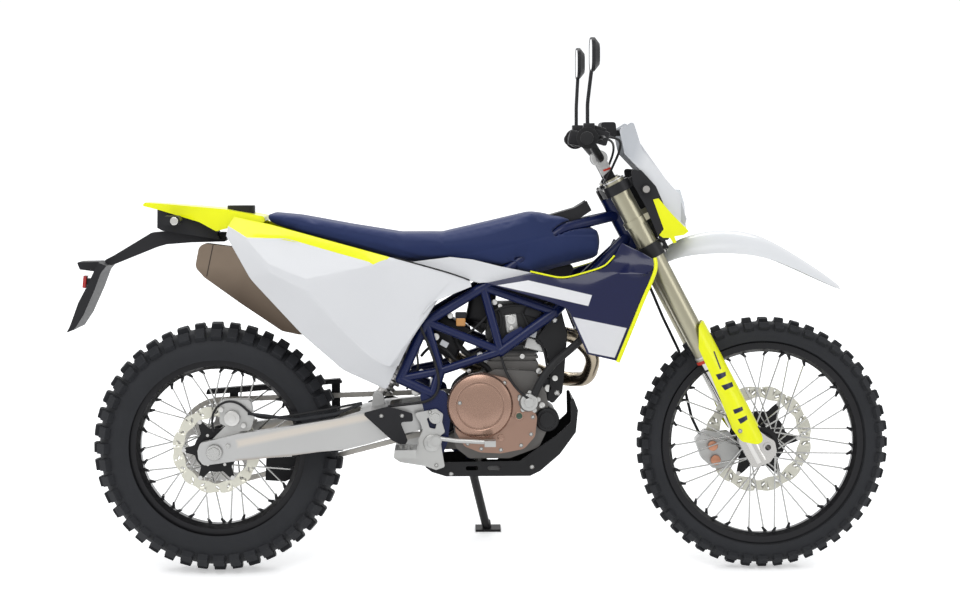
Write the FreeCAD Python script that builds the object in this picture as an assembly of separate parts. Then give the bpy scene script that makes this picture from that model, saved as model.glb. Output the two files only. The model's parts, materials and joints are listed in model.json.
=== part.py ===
import FreeCAD, Part
import math
import os
from FreeCAD import Placement, Rotation, Vector

# Every piece is drawn on the upright machine: X forward from the rear axle, Y to the left,
# Z up from the floor, in millimetres. At the end the whole machine leans onto its side stand.

# Whole machine; the side outlines of the chassis are drawn at one wheelbase and stretched to the real one
WHEELBASE = 1502.0
DRAWN_WHEELBASE = 1502.0
RAKE = 27.7
LEAN = 10.0
RUNNING_GAP = 0.05
SEAT_GAP = 0.3

# Front wheel
FRONT_RADIUS = 348.0
FRONT_CROWN = 50.0
FRONT_LUG = 12.0
FRONT_LUG_WIDTH = 30.0
FRONT_LUG_ROWS = 40
FRONT_RIM_RADIUS = 278.0
FRONT_RIM_WIDTH = 52.0
FRONT_RIM_DEPTH = 26.0
FRONT_HUB_HALF = 52.0
FRONT_FLANGE_RADIUS = 42.0
FRONT_FLANGE_SPREAD = 26.0
FRONT_AXLE_RADIUS = 13.0
FRONT_AXLE_BORE = 8.0
FRONT_AXLE_LENGTH = 252.0
FRONT_DISC_RADIUS = 150.0
FRONT_DISC_Y = 66.0

# Rear wheel
REAR_RADIUS = 344.0
REAR_CROWN = 78.0
REAR_LUG = 15.0
REAR_LUG_WIDTH = 46.0
REAR_LUG_ROWS = 32
REAR_RIM_RADIUS = 243.0
REAR_RIM_WIDTH = 76.0
REAR_RIM_DEPTH = 28.0
REAR_HUB_HALF = 72.0
REAR_FLANGE_RADIUS = 52.0
REAR_FLANGE_SPREAD = 34.0
REAR_AXLE_RADIUS = 12.5
REAR_AXLE_BORE = 7.0
REAR_AXLE_LENGTH = 300.0
REAR_DISC_RADIUS = 120.0
REAR_DISC_Y = -86.0
DISC_THICKNESS = 4.5
FLANGE_WALL = 4.5
BEAD_SEAT = 14.0
SPOKE_COUNT = 36
SPOKE_RADIUS = 2.1

# Chain drive
CHAIN_PITCH = 15.875
SPROCKET_TEETH = 45
PINION_TEETH = 16
CHAIN_Y = 95.0
CHAIN_WIDTH = 17.0
CHAIN_HEIGHT = 15.0
CHAIN_WAIST = 2.6
PINION_X = 668.0
PINION_Z = 442.0

# Steering, measured along and across the steering axis from the front axle's height on it
STEERING_OFFSET = 55.0
LEG_OFFSET = 22.0
LEG_HALF_SPREAD = 100.0
LEG_INNER_RADIUS = 24.0
LEG_OUTER_RADIUS = 28.5
OUTER_TUBE_LOW = 286.0
OUTER_TUBE_HIGH = 838.0
TUBE_STAND = 23.0
LOWER_CLAMP_S = 622.0
LOWER_CLAMP_HEIGHT = 38.0
UPPER_CLAMP_S = OUTER_TUBE_HIGH - TUBE_STAND
UPPER_CLAMP_HEIGHT = 28.0
CLAMP_RING_RADIUS = 38.0
STEM_RADIUS = 15.0
HEAD_RADIUS = 30.0
STEERING_LOCK = 40.0
CLAMP_SWEEP = 78.0
LUG_HALF = 20.0
MASK_HALF = 118.0
LAMP_HALF = 62.0
LAMP_LOW = 607.0
LAMP_HIGH = 701.0
HOSE_RADIUS = 4.0

# Chassis
PIVOT_X = 598.0
PIVOT_Z = 439.0
PIVOT_RADIUS = 10.0
TUBE_RADIUS = 14.0
BRACE_RADIUS = 11.5
FRAME_Y = 108.0
RAIL_BEND = 120.0
PLATE_Y = 114.0
PLATE_THICKNESS = 12.0
PANEL_THICKNESS = 3.0
SKID_HALF = 112.0

# Joints of the chassis with the engine, the shock absorber and the foot levers, as (x, z)
ENGINE_FRONT = (922, 492)
ENGINE_REAR = (604, 350)
SHOCK_FOOT = (440, 484)
SHOCK_TOP = (535, 612)
SHIFT_SHAFT = (724, 372)
PEDAL_PIVOT = (600, 378)
SKID_FLOOR = 275.0
TANK_HALF = 92.0
CAP_RADIUS = 38.0
RADIATOR_INNER = 80.0
RADIATOR_OUTER = 148.0
CALIPER_STAY = 101.3
EXHAUST_RADIUS = 20.0
EXHAUST_BEND = 60.0

# Controls
BAR_RADIUS = 11.0
BAR_HALF_WIDTH = 400.0
GRIP_RADIUS = 17.0
GRIP_LENGTH = 125.0
PERCH_RADIUS = 20.0
PEG_LENGTH = 120.0

# Side stand
STAND_X = 690.0
STAND_Y = 152.0
STAND_Z = 300.0
STAND_FOOT_X = 745.0
STAND_FOOT_Y = 322.0
STAND_TUBE_RADIUS = 12.0
STAND_PIN_RADIUS = 6.0

STRETCH = WHEELBASE / DRAWN_WHEELBASE
LEAN_TAN = math.tan(math.radians(LEAN))
LEAN_COS = math.cos(math.radians(LEAN))
FRONT_AXLE_Z = FRONT_RADIUS + FRONT_LUG_WIDTH / 2 * LEAN_TAN
REAR_AXLE_Z = REAR_RADIUS + REAR_LUG_WIDTH / 2 * LEAN_TAN
RAKE_SIN = math.sin(math.radians(RAKE))
RAKE_COS = math.cos(math.radians(RAKE))
STEERING_FOOT = Vector(WHEELBASE - STEERING_OFFSET * RAKE_COS, 0, FRONT_AXLE_Z - STEERING_OFFSET * RAKE_SIN)


# Shared shapes

def ring_of(points, radius):
    """Closed wire through the points, each corner rounded as far as its sides allow."""
    ends = []
    arcs = []
    for i, corner in enumerate(points):
        back = points[i - 1] - corner
        ahead = points[(i + 1) % len(points)] - corner
        room = 0.45 * min(back.Length, ahead.Length)
        back.normalize()
        ahead.normalize()
        half_turn = (math.pi - back.getAngle(ahead)) / 2
        if radius <= 0 or half_turn < 0.02:
            ends.append((corner, corner))
            arcs.append(None)
            continue
        reach = min(radius * math.tan(half_turn), room)
        bend = reach / math.tan(half_turn)
        middle = corner + (back + ahead).normalize() * (bend / math.cos(half_turn) - bend)
        first = corner + back * reach
        last = corner + ahead * reach
        ends.append((first, last))
        arcs.append(Part.Arc(first, middle, last).toShape())
    edges = []
    for i, (first, last) in enumerate(ends):
        if arcs[i]:
            edges.append(arcs[i])
        following = ends[(i + 1) % len(ends)][0]
        if last.distanceToPoint(following) > 1e-6:
            edges.append(Part.LineSegment(last, following).toShape())
    return Part.Wire(edges)


def slab(points, y_low, y_high, radius=0.0):
    """Solid between two Y planes with a side outline given as (x, z) points."""
    wire = ring_of([Vector(x, y_low, z) for x, z in points], radius)
    return Part.Face(wire).extrude(Vector(0, y_high - y_low, 0))


def plank(points, z_low, z_high, radius=0.0):
    """Solid between two Z planes with a plan outline given as (x, y) points."""
    wire = ring_of([Vector(x, y, z_low) for x, y in points], radius)
    return Part.Face(wire).extrude(Vector(0, 0, z_high - z_low))


def block(x_low, x_high, y_low, y_high, z_low, z_high):
    return Part.makeBox(x_high - x_low, y_high - y_low, z_high - z_low, Vector(x_low, y_low, z_low))


def rod(start, end, radius):
    return Part.makeCylinder(radius, (end - start).Length, start, end - start)


def cross_rod(x, z, y_low, y_high, radius):
    return rod(Vector(x, y_low, z), Vector(x, y_high, z), radius)


def spot(x, y, z):
    """Point of the chassis, stretched with the wheelbase."""
    return Vector(x * STRETCH, y, z)


def side_slab(points, y_low, y_high, radius=0.0):
    """Slab of the chassis, stretched with the wheelbase."""
    return slab([(x * STRETCH, z) for x, z in points], y_low, y_high, radius)


def plan_slab(points, z_low, z_high, radius=0.0):
    """Plank of the chassis, stretched with the wheelbase."""
    return plank([(x * STRETCH, y) for x, y in points], z_low, z_high, radius)


def bolt(x, z, y_low, y_high, radius):
    """Rod across the chassis, at a place that is stretched with the wheelbase."""
    return cross_rod(x * STRETCH, z, y_low, y_high, radius)


def turned(profile, axis=Vector(0, 1, 0)):
    """Ring turned about Y from (y, r) points."""
    wire = Part.makePolygon([Vector(0, y, r) for y, r in profile + profile[:1]])
    return Part.Face(wire).revolve(Vector(0, 0, 0), axis, 360)


def moved(shape, x=0.0, y=0.0, z=0.0):
    copy = shape.copy()
    copy.Placement = Placement(Vector(x, y, z), Rotation()).multiply(copy.Placement)
    return copy


def mirrored(shape):
    return shape.mirror(Vector(0, 0, 0), Vector(0, 1, 0))


def both_sides(shape):
    return Part.makeCompound([shape, mirrored(shape)])


def fused(shapes):
    return shapes[0].multiFuse(shapes[1:]).removeSplitter()


def bent_path(points, radius):
    """Open wire of straight runs joined by tangent arcs."""
    edges = []
    start = points[0]
    for i in range(1, len(points) - 1):
        corner = points[i]
        back = points[i - 1] - corner
        ahead = points[i + 1] - corner
        room = 0.45 * min(back.Length, ahead.Length)
        back.normalize()
        ahead.normalize()
        half_turn = (math.pi - back.getAngle(ahead)) / 2
        reach = min(radius * math.tan(half_turn), room)
        bend = reach / math.tan(half_turn)
        middle = corner + (back + ahead).normalize() * (bend / math.cos(half_turn) - bend)
        first = corner + back * reach
        last = corner + ahead * reach
        edges.append(Part.LineSegment(start, first).toShape())
        edges.append(Part.Arc(first, middle, last).toShape())
        start = last
    edges.append(Part.LineSegment(start, points[-1]).toShape())
    return Part.Wire(edges)


def bent_tube(points, tube_radius, bend_radius):
    path = bent_path(points, bend_radius)
    circle = Part.Wire(Part.makeCircle(tube_radius, points[0], points[1] - points[0]))
    return path.makePipeShell([circle], True, True)


def lofted(sections, ruled=False):
    return Part.makeLoft(sections, True, ruled)


def reach_of(shape, x, z):
    """Lowest and highest Y of a shape along a line across the machine."""
    crossed = [corner.Y for corner in shape.common(cross_rod(x, z, -500, 500, 0.5)).Vertexes]
    return min(crossed), max(crossed)


def depth_of(shape, x, y):
    """Lowest and highest Z of a shape along an upright line."""
    crossed = [corner.Z for corner in shape.common(rod(Vector(x, y, 0), Vector(x, y, 2000), 0.5)).Vertexes]
    return min(crossed), max(crossed)


def panel_skin(stations):
    """Curved sheet of one panel thickness through arcs given as (x, low, middle, high) with (y, z) ends."""
    wires = []
    across = Vector(0, PANEL_THICKNESS, 0)
    for x, low, middle, high in stations:
        bottom = spot(x, *low)
        centre = spot(x, *middle)
        top = spot(x, *high)
        outer = Part.Arc(bottom, centre, top).toShape()
        inner = Part.Arc(top + across, centre + across, bottom + across).toShape()
        upper_end = Part.LineSegment(top, top + across).toShape()
        lower_end = Part.LineSegment(bottom + across, bottom).toShape()
        wires.append(Part.Wire([outer, upper_end, inner, lower_end]))
    return lofted(wires)


def in_fork(shape):
    """Place a shape drawn as (forward, left, up the steering axis) at the steering head."""
    copy = shape.copy()
    frame = Placement(STEERING_FOOT, Rotation(Vector(0, 1, 0), -RAKE))
    copy.Placement = frame.multiply(copy.Placement)
    return copy


def fork_point(forward, y, up):
    along = Vector(RAKE_COS, 0, RAKE_SIN) * forward
    return STEERING_FOOT + along + Vector(0, y, 0) + Vector(-RAKE_SIN, 0, RAKE_COS) * up


def from_front_axle(shape):
    """Place a shape drawn upright about the front axle."""
    return moved(shape, WHEELBASE, 0, FRONT_AXLE_Z)


def rail_route():
    """Corners of the right top rail, from the steering head back to the seat's knot."""
    return [fork_point(-12, -18, UPPER_CLAMP_S - 68), spot(950, -68, 948), knot(729, 791)]


def knot(x, z, y=None):
    """Joint of the right side of the trellis."""
    return spot(x, -(FRAME_Y if y is None else y), z)


# Wheels

def lug(radius, crown, height, angle, wide, long):
    """Tread block standing on the crown circle at an angle from the tyre's middle plane."""
    root = 12.0
    shape = Part.makeBox(long, wide, height + root, Vector(-long / 2, -wide / 2, crown - height - root))
    shape.rotate(Vector(0, 0, 0), Vector(1, 0, 0), -angle)
    return moved(shape, z=radius - crown)


def tyre(radius, crown, height, rows, rim_radius, rim_width, tread, lugs):
    """Hollow carcass with one flat facet for each row of tread blocks."""
    middle = radius - crown
    bead = rim_width / 2 - FLANGE_WALL - SEAT_GAP
    belly = crown - height
    seat = rim_radius - BEAD_SEAT
    shoulder, shoulder_radius = tread
    half = [(bead, seat), (bead, rim_radius + 2), (belly, middle - 6), (shoulder, shoulder_radius)]
    hollow = [(bead - 3, middle + 4), (bead - 7, seat)]
    profile = half + [(-y, r) for y, r in half[::-1]]
    profile += [(-y, r) for y, r in hollow[::-1]] + hollow
    corner = math.cos(math.pi / rows)
    rings = []
    for y, r in profile:
        ring = []
        for k in range(rows):
            a = 2 * math.pi * (k + 0.5) / rows
            ring.append(Vector(r / corner * math.sin(a), y, r / corner * math.cos(a)))
        rings.append(ring)
    faces = []
    for i, ring in enumerate(rings):
        other = rings[(i + 1) % len(rings)]
        for k in range(rows):
            n = (k + 1) % rows
            faces.append(Part.Face(Part.makePolygon([ring[k], other[k], other[n], ring[n], ring[k]])))
    skin = Part.makeCompound(faces)
    skin.sewShape()
    carcass = Part.Solid(skin.Shells[0])
    blocks = []
    for row in range(rows):
        for angle, wide, long in lugs:
            shape = lug(radius, crown, height, angle, wide, long)
            shape.rotate(Vector(0, 0, 0), Vector(0, 1, 0), 360.0 * row / rows)
            blocks.append(shape)
    return carcass.multiFuse(blocks)


def rim(radius, width, depth):
    half = width / 2
    bed = radius - BEAD_SEAT - SEAT_GAP
    profile = [
        (-half, radius), (-half + FLANGE_WALL, radius), (-half + FLANGE_WALL, bed), (-half * 0.45, bed - 4),
        (-half * 0.3, bed - 9), (half * 0.3, bed - 9), (half * 0.45, bed - 4), (half - FLANGE_WALL, bed),
        (half - FLANGE_WALL, radius), (half, radius), (half, bed - 3), (half * 0.4, radius - depth),
        (-half * 0.4, radius - depth), (-half, bed - 3),
    ]
    return turned(profile)


def hub(half, flange_radius, spread, axle_radius):
    bore = axle_radius + RUNNING_GAP
    flange = 3.0
    profile = [
        (-half, bore), (-half, 24), (-spread - flange, 30), (-spread - flange, flange_radius),
        (-spread + flange, flange_radius), (-spread + flange, 29), (spread - flange, 29),
        (spread - flange, flange_radius), (spread + flange, flange_radius), (spread + flange, 30),
        (half, 24), (half, bore),
    ]
    return turned(profile)


def spokes(flange_radius, spread, rim_inside):
    """Crossed spokes: on each flange half lean forward and half lean back."""
    start_radius = flange_radius + SEAT_GAP + SPOKE_RADIUS
    end_radius = rim_inside - 2 * SEAT_GAP
    wires = []
    for i in range(SPOKE_COUNT):
        side = 1 if i % 2 else -1
        lean = 1 if (i // 2) % 2 else -1
        hub_angle = 360.0 * i / SPOKE_COUNT
        rim_angle = hub_angle + lean * 42.0
        y_hub = side * (spread + lean * (SPOKE_RADIUS + 0.6))
        a = math.radians(hub_angle)
        b = math.radians(rim_angle)
        start = Vector(start_radius * math.cos(a), y_hub, start_radius * math.sin(a))
        end = Vector(end_radius * math.cos(b), side * 7.0 + lean * 3.0, end_radius * math.sin(b))
        corners = []
        run = (end - start).normalize()
        across = run.cross(Vector(0, 1, 0)).normalize()
        over = run.cross(across)
        for k in range(6):
            t = math.radians(60 * k)
            corners.append(start + across * (SPOKE_RADIUS * math.cos(t)) + over * (SPOKE_RADIUS * math.sin(t)))
        face = Part.Face(Part.makePolygon(corners + corners[:1]))
        wires.append(face.extrude(end - start))
    return Part.makeCompound(wires)


def disc(radius, y, hub_face):
    """Brake disc: waved ring held by the arms of a spider that is bolted to the hub's end."""
    waves = 12
    depth = 4.0
    half = DISC_THICKNESS / 2
    points = []
    for i in range(waves * 6):
        a = math.radians(360.0 * i / (waves * 6))
        r = radius - depth * (1 - math.cos(waves * a)) / 2
        points.append(Vector(r * math.cos(a), y - half, r * math.sin(a)))
    ring = Part.Face(Part.makePolygon(points + points[:1])).extrude(Vector(0, DISC_THICKNESS, 0))
    ring = ring.cut(cross_rod(0, 0, y - 10, y + 10, radius * 0.74))
    spider = cross_rod(0, 0, y - half, y + half, 36)
    for k in range(6):
        arm = block(0, radius * 0.78, y - half, y + half, -7, 7)
        arm.rotate(Vector(0, 0, 0), Vector(0, 1, 0), 60 * k)
        spider = spider.fuse(arm)
    inward = -1 if y > 0 else 1
    collar = cross_rod(0, 0, y + inward * half, hub_face - inward * SEAT_GAP, 27)
    bore = cross_rod(0, 0, y - 40, y + 40, 21)
    return fused([ring, spider, collar]).cut(bore)


PIECES = {}
SHIFT = Vector(0, 0, 0)


def add(name, shape):
    PIECES[name] = shape


def build_wheels():
    """Both wheels, turned about their own axles."""
    front = {
        "front_tyre": tyre(FRONT_RADIUS, FRONT_CROWN, FRONT_LUG, FRONT_LUG_ROWS, FRONT_RIM_RADIUS, FRONT_RIM_WIDTH,
                           (18, 334), [(0, FRONT_LUG_WIDTH, 30), (52, 24, 30), (-52, 24, 30)]),
        "front_rim": rim(FRONT_RIM_RADIUS, FRONT_RIM_WIDTH, FRONT_RIM_DEPTH),
        "front_hub": hub(FRONT_HUB_HALF, FRONT_FLANGE_RADIUS, FRONT_FLANGE_SPREAD, FRONT_AXLE_RADIUS),
        "front_spokes": spokes(FRONT_FLANGE_RADIUS, FRONT_FLANGE_SPREAD, FRONT_RIM_RADIUS - FRONT_RIM_DEPTH),
        "front_disc": disc(FRONT_DISC_RADIUS, FRONT_DISC_Y, FRONT_HUB_HALF),
    }
    rear = {
        "rear_tyre": tyre(REAR_RADIUS, REAR_CROWN, REAR_LUG, REAR_LUG_ROWS, REAR_RIM_RADIUS, REAR_RIM_WIDTH,
                          (30, 325), [(0, REAR_LUG_WIDTH, 36), (48, 36, 36), (-48, 36, 36)]),
        "rear_rim": rim(REAR_RIM_RADIUS, REAR_RIM_WIDTH, REAR_RIM_DEPTH),
        "rear_hub": hub(REAR_HUB_HALF, REAR_FLANGE_RADIUS, REAR_FLANGE_SPREAD, REAR_AXLE_RADIUS),
        "rear_spokes": spokes(REAR_FLANGE_RADIUS, REAR_FLANGE_SPREAD, REAR_RIM_RADIUS - REAR_RIM_DEPTH),
        "rear_disc": disc(REAR_DISC_RADIUS, REAR_DISC_Y, -REAR_HUB_HALF),
        "rear_sprocket": sprocket(SPROCKET_TEETH, CHAIN_Y, REAR_HUB_HALF, REAR_AXLE_RADIUS),
    }
    for name, shape in front.items():
        add(name, moved(shape, WHEELBASE, 0, FRONT_AXLE_Z))
    for name, shape in rear.items():
        add(name, moved(shape, 0, 0, REAR_AXLE_Z))


# Steering

def leg_clamp(up, height, stem_boss):
    """Clamp plate round both outer tubes and the stem."""
    half = LEG_HALF_SPREAD
    low = up - height / 2
    high = up + height / 2
    plate = plank([(-22, -38), (-6, -half - 10), (LEG_OFFSET + 14, -half - 10), (LEG_OFFSET + 24, -40),
                   (LEG_OFFSET + 24, 40), (LEG_OFFSET + 14, half + 10), (-6, half + 10), (-22, 38)], low, high, 14)
    rings = []
    bores = []
    for side in (-1, 1):
        foot = Vector(LEG_OFFSET, side * half, low)
        top = Vector(LEG_OFFSET, side * half, high)
        rings.append(rod(foot, top, CLAMP_RING_RADIUS))
        bores.append(rod(foot - Vector(0, 0, 5), top + Vector(0, 0, 5), LEG_OUTER_RADIUS + SEAT_GAP))
    boss = rod(Vector(0, 0, low), Vector(0, 0, high), stem_boss)
    pinch = [block(LEG_OFFSET + 30, LEG_OFFSET + 48, side * half - 9, side * half + 9, low + 4, high - 4)
             for side in (-1, 1)]
    body = plate.multiFuse(rings + [boss] + pinch)
    return body.cut(Part.makeCompound(bores))


def mask_band(up):
    """Band round each outer tube with an arm forward to the mask's side panels."""
    height = 18
    wall = 4
    bands = []
    for side in (-1, 1):
        y = side * LEG_HALF_SPREAD
        foot = Vector(LEG_OFFSET, y, up)
        top = Vector(LEG_OFFSET, y, up + height)
        band = rod(foot, top, LEG_OUTER_RADIUS + SEAT_GAP + wall)
        inner = side * (MASK_HALF - 8)
        outer = side * (MASK_HALF)
        arm = block(LEG_OFFSET + 24, LEG_OFFSET + 66, min(inner, outer), max(inner, outer), up, up + height)
        bore = rod(foot - Vector(0, 0, 1), top + Vector(0, 0, 1), LEG_OUTER_RADIUS + SEAT_GAP)
        bands.append(band.fuse(arm).cut(bore))
    return Part.makeCompound(bands)


def build_fork():
    outers = []
    inners = []
    for side in (-1, 1):
        y = side * LEG_HALF_SPREAD
        low = Vector(LEG_OFFSET, y, OUTER_TUBE_LOW)
        high = Vector(LEG_OFFSET, y, OUTER_TUBE_HIGH)
        bore_top = Vector(LEG_OFFSET, y, OUTER_TUBE_LOW + 180)
        tube = rod(low, high, LEG_OUTER_RADIUS)
        collar = rod(low, low + Vector(0, 0, 16), LEG_OUTER_RADIUS + 1.5)
        bore = rod(low - Vector(0, 0, 1), bore_top, LEG_INNER_RADIUS + SEAT_GAP)
        cap = rod(high, high + Vector(0, 0, 6), 21)
        outers.append(tube.multiFuse([collar, cap]).cut(bore))
        inner = rod(Vector(LEG_OFFSET, y, -28), bore_top - Vector(0, 0, SEAT_GAP), LEG_INNER_RADIUS)
        face = y - LUG_HALF
        casting = ring_of([
            Vector(LEG_OFFSET - 30, face, -34), Vector(LEG_OFFSET + 20, face, -40),
            Vector(STEERING_OFFSET + 16, face, -24), Vector(STEERING_OFFSET + 25, face, 6),
            Vector(STEERING_OFFSET + 12, face, 26), Vector(LEG_OFFSET + 28, face, 62),
            Vector(LEG_OFFSET - 30, face, 62),
        ], 16)
        foot = Part.Face(casting).extrude(Vector(0, 2 * LUG_HALF, 0))
        axle_bore = rod(Vector(STEERING_OFFSET, y - 30, 0), Vector(STEERING_OFFSET, y + 30, 0),
                        FRONT_AXLE_RADIUS + RUNNING_GAP)
        inners.append(inner.fuse(foot).cut(axle_bore))
    add("fork_outer_tubes", in_fork(Part.makeCompound(outers)))
    add("fork_inner_tubes", in_fork(Part.makeCompound(inners)))
    lower = leg_clamp(LOWER_CLAMP_S, LOWER_CLAMP_HEIGHT, 32)
    upper = leg_clamp(UPPER_CLAMP_S, UPPER_CLAMP_HEIGHT, 30)
    stem = rod(Vector(0, 0, LOWER_CLAMP_S), Vector(0, 0, UPPER_CLAMP_S + UPPER_CLAMP_HEIGHT / 2 + 8), STEM_RADIUS)
    add("triple_clamps", in_fork(lower.multiFuse([upper, stem])))
    add("mask_bands", in_fork(mask_band(LOWER_CLAMP_S + 80)))
    end = Vector(STEERING_OFFSET, FRONT_AXLE_LENGTH / 2, 0)
    spindle = rod(Vector(STEERING_OFFSET, -FRONT_AXLE_LENGTH / 2, 0), end, FRONT_AXLE_RADIUS)
    head = rod(Vector(STEERING_OFFSET, LEG_HALF_SPREAD + LUG_HALF + SEAT_GAP, 0), end, FRONT_AXLE_RADIUS + 5)
    parts = [spindle, head]
    for side in (-1, 1):
        parts.append(rod(Vector(STEERING_OFFSET, side * (FRONT_HUB_HALF + SEAT_GAP), 0),
                         Vector(STEERING_OFFSET, side * (LEG_HALF_SPREAD - LUG_HALF - SEAT_GAP), 0),
                         FRONT_AXLE_RADIUS + 7))
    hollow = rod(Vector(STEERING_OFFSET, -FRONT_AXLE_LENGTH, 0), Vector(STEERING_OFFSET, FRONT_AXLE_LENGTH, 0),
                 FRONT_AXLE_BORE)
    add("front_axle", in_fork(fused(parts).cut(hollow)))


def build_fork_guards():
    """Guards wrapped round the front and outer side of each inner tube, bolted to its foot."""
    skin = 2.6
    reach = LEG_INNER_RADIUS + 16
    y = -LEG_HALF_SPREAD
    centre = Vector(LEG_OFFSET, y, 0)
    outer = Part.makeCylinder(reach, 420, centre, Vector(0, 0, 1))
    inner = Part.makeCylinder(reach - skin, 420, centre, Vector(0, 0, 1))
    outline = [Vector(x, y - 90, z) for x, z in (
        (LEG_OFFSET - 10, 330), (LEG_OFFSET - 14, 250), (LEG_OFFSET - 30, 90), (LEG_OFFSET - 24, 50),
        (LEG_OFFSET + 12, 22), (LEG_OFFSET + 30, 22), (LEG_OFFSET + 52, 100), (LEG_OFFSET + 52, 300),
        (LEG_OFFSET + 40, 392), (LEG_OFFSET + 20, 385))]
    window = Part.Face(ring_of(outline, 22)).extrude(Vector(0, 150, 0))
    inner_side = block(LEG_OFFSET - 60, LEG_OFFSET + 60, y + 22, y + 90, 0, 420)
    face = y - LUG_HALF - SEAT_GAP
    foot_room = block(LEG_OFFSET - 40, LEG_OFFSET + 70, face, y + 60, 0, 64)
    bosses = [rod(Vector(LEG_OFFSET + forward, face, up), Vector(LEG_OFFSET + forward, y - reach + skin, up), 6)
              for forward, up in ((-6, 44), (12, 36))]
    guard = outer.cut(inner).common(window).cut(inner_side).cut(foot_room)
    tube_room = Part.makeCylinder(LEG_INNER_RADIUS + SEAT_GAP, 420, centre, Vector(0, 0, 1))
    guard = guard.multiFuse([boss.common(outer).cut(tube_room) for boss in bosses])
    add("fork_guards", in_fork(both_sides(guard)))


def arch(x, z, half, drop, skin):
    """Closed arched band across the machine: outer arc, inner arc and two short ends."""
    outer = Part.Arc(Vector(x, -half, z - drop), Vector(x, 0, z), Vector(x, half, z - drop)).toShape()
    inner = Part.Arc(Vector(x, half - skin, z - drop - skin * 0.3), Vector(x, 0, z - skin),
                     Vector(x, skin - half, z - drop - skin * 0.3)).toShape()
    left = Part.LineSegment(Vector(x, half, z - drop), Vector(x, half - skin, z - drop - skin * 0.3)).toShape()
    right = Part.LineSegment(Vector(x, skin - half, z - drop - skin * 0.3), Vector(x, -half, z - drop)).toShape()
    return Part.Wire([outer, left, inner, right])


def build_front_fender():
    """High fender: an arched sheet with four bosses up to the lower clamp."""
    skin = 4.0
    stations = [
        (-312, 495, 50, 26), (-230, 562, 58, 46), (-102, 587, 66, 60), (-22, 575, 72, 56),
        (58, 537, 74, 44), (138, 487, 66, 30), (209, 435, 40, 10),
    ]
    sheet = from_front_axle(lofted([arch(x, z, half, drop, skin) for x, z, half, drop in stations]))
    seat = LOWER_CLAMP_S - LOWER_CLAMP_HEIGHT / 2 - SEAT_GAP
    bosses = [in_fork(rod(Vector(forward, y, seat - length), Vector(forward, y, seat), 8))
              for forward, length in ((12, 28), (38, 24)) for y in (-26, 26)]
    add("front_fender", sheet.multiFuse(bosses))


def build_mask():
    """Headlamp mask: a curved shell in front of the fork, its lamp and its side panels."""
    wall = 4
    front = [(-367, 887), (-356, 854), (-342, 808), (-302, 759), (-260, 711), (-236, 686), (-222, 632), (-212, 589)]
    back = [(-252, 574), (-277, 649), (-312, 709), (-352, 759), (-390, 799), (-404, 863)]
    side = slab(front + back, -MASK_HALF, MASK_HALF, 8)
    nose = [(-312, -MASK_HALF), (-232, -86), (-202, 0), (-232, 86), (-312, MASK_HALF)]
    crown = plank([(-442, -MASK_HALF)] + nose + [(-442, MASK_HALF)], 540, 910, 40)
    inside = MASK_HALF - wall
    hollow = plank([(-452, -inside), (-316, -inside), (-240, wall - 86), (-212, 0), (-240, 86 - wall),
                    (-316, inside), (-452, inside)], 530, 920, 38)
    screen = slab([(-376, 874), (-356, 839), (-226, 659), (-218, 594), (-226, 589), (-240, 651), (-372, 829),
                   (-390, 869)], -MASK_HALF + 8, MASK_HALF - 8).common(crown)
    window = block(-352, -192, -LAMP_HALF, LAMP_HALF, LAMP_LOW, LAMP_HIGH)
    shell = side.common(crown).cut(hollow).fuse(screen).cut(window)
    add("headlamp_mask", from_front_axle(shell))
    low = LAMP_LOW + SEAT_GAP
    high = LAMP_HIGH - SEAT_GAP
    lamp = slab([(-302, high), (-234, high), (-220, (low + high) / 2), (-218, low), (-282, low)],
                SEAT_GAP - LAMP_HALF, LAMP_HALF - SEAT_GAP)
    add("headlamp", from_front_axle(lamp.common(crown)))
    face = -MASK_HALF - SEAT_GAP
    panel = slab([(-374, 757), (-346, 755), (-306, 711), (-280, 651), (-262, 588), (-272, 566), (-294, 563),
                  (-334, 657), (-368, 717)], face - 7, face, 8)
    add("mask_panels", from_front_axle(both_sides(panel)))
    dash = slab([(-452, 885), (-410, 885), (-406, 845), (-440, 839)], -62, 62, 8)
    stays = [slab([(-416, 847), (-416, 863), (-387.6, 863), (-380.4, 847)], y - 6, y + 6) for y in (-36, 36)]
    add("instrument", from_front_axle(dash.multiFuse(stays)))


def oval(x, y, z, half_y, half_z):
    """Rounded outline across the machine for a mirror."""
    corners = [Vector(x, y - half_y, z - half_z * 0.6), Vector(x, y - half_y * 0.6, z - half_z),
               Vector(x, y + half_y * 0.6, z - half_z), Vector(x, y + half_y, z - half_z * 0.6),
               Vector(x, y + half_y, z + half_z * 0.6), Vector(x, y + half_y * 0.6, z + half_z),
               Vector(x, y - half_y * 0.6, z + half_z), Vector(x, y - half_y, z + half_z * 0.6)]
    return ring_of(corners, 60)


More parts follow.
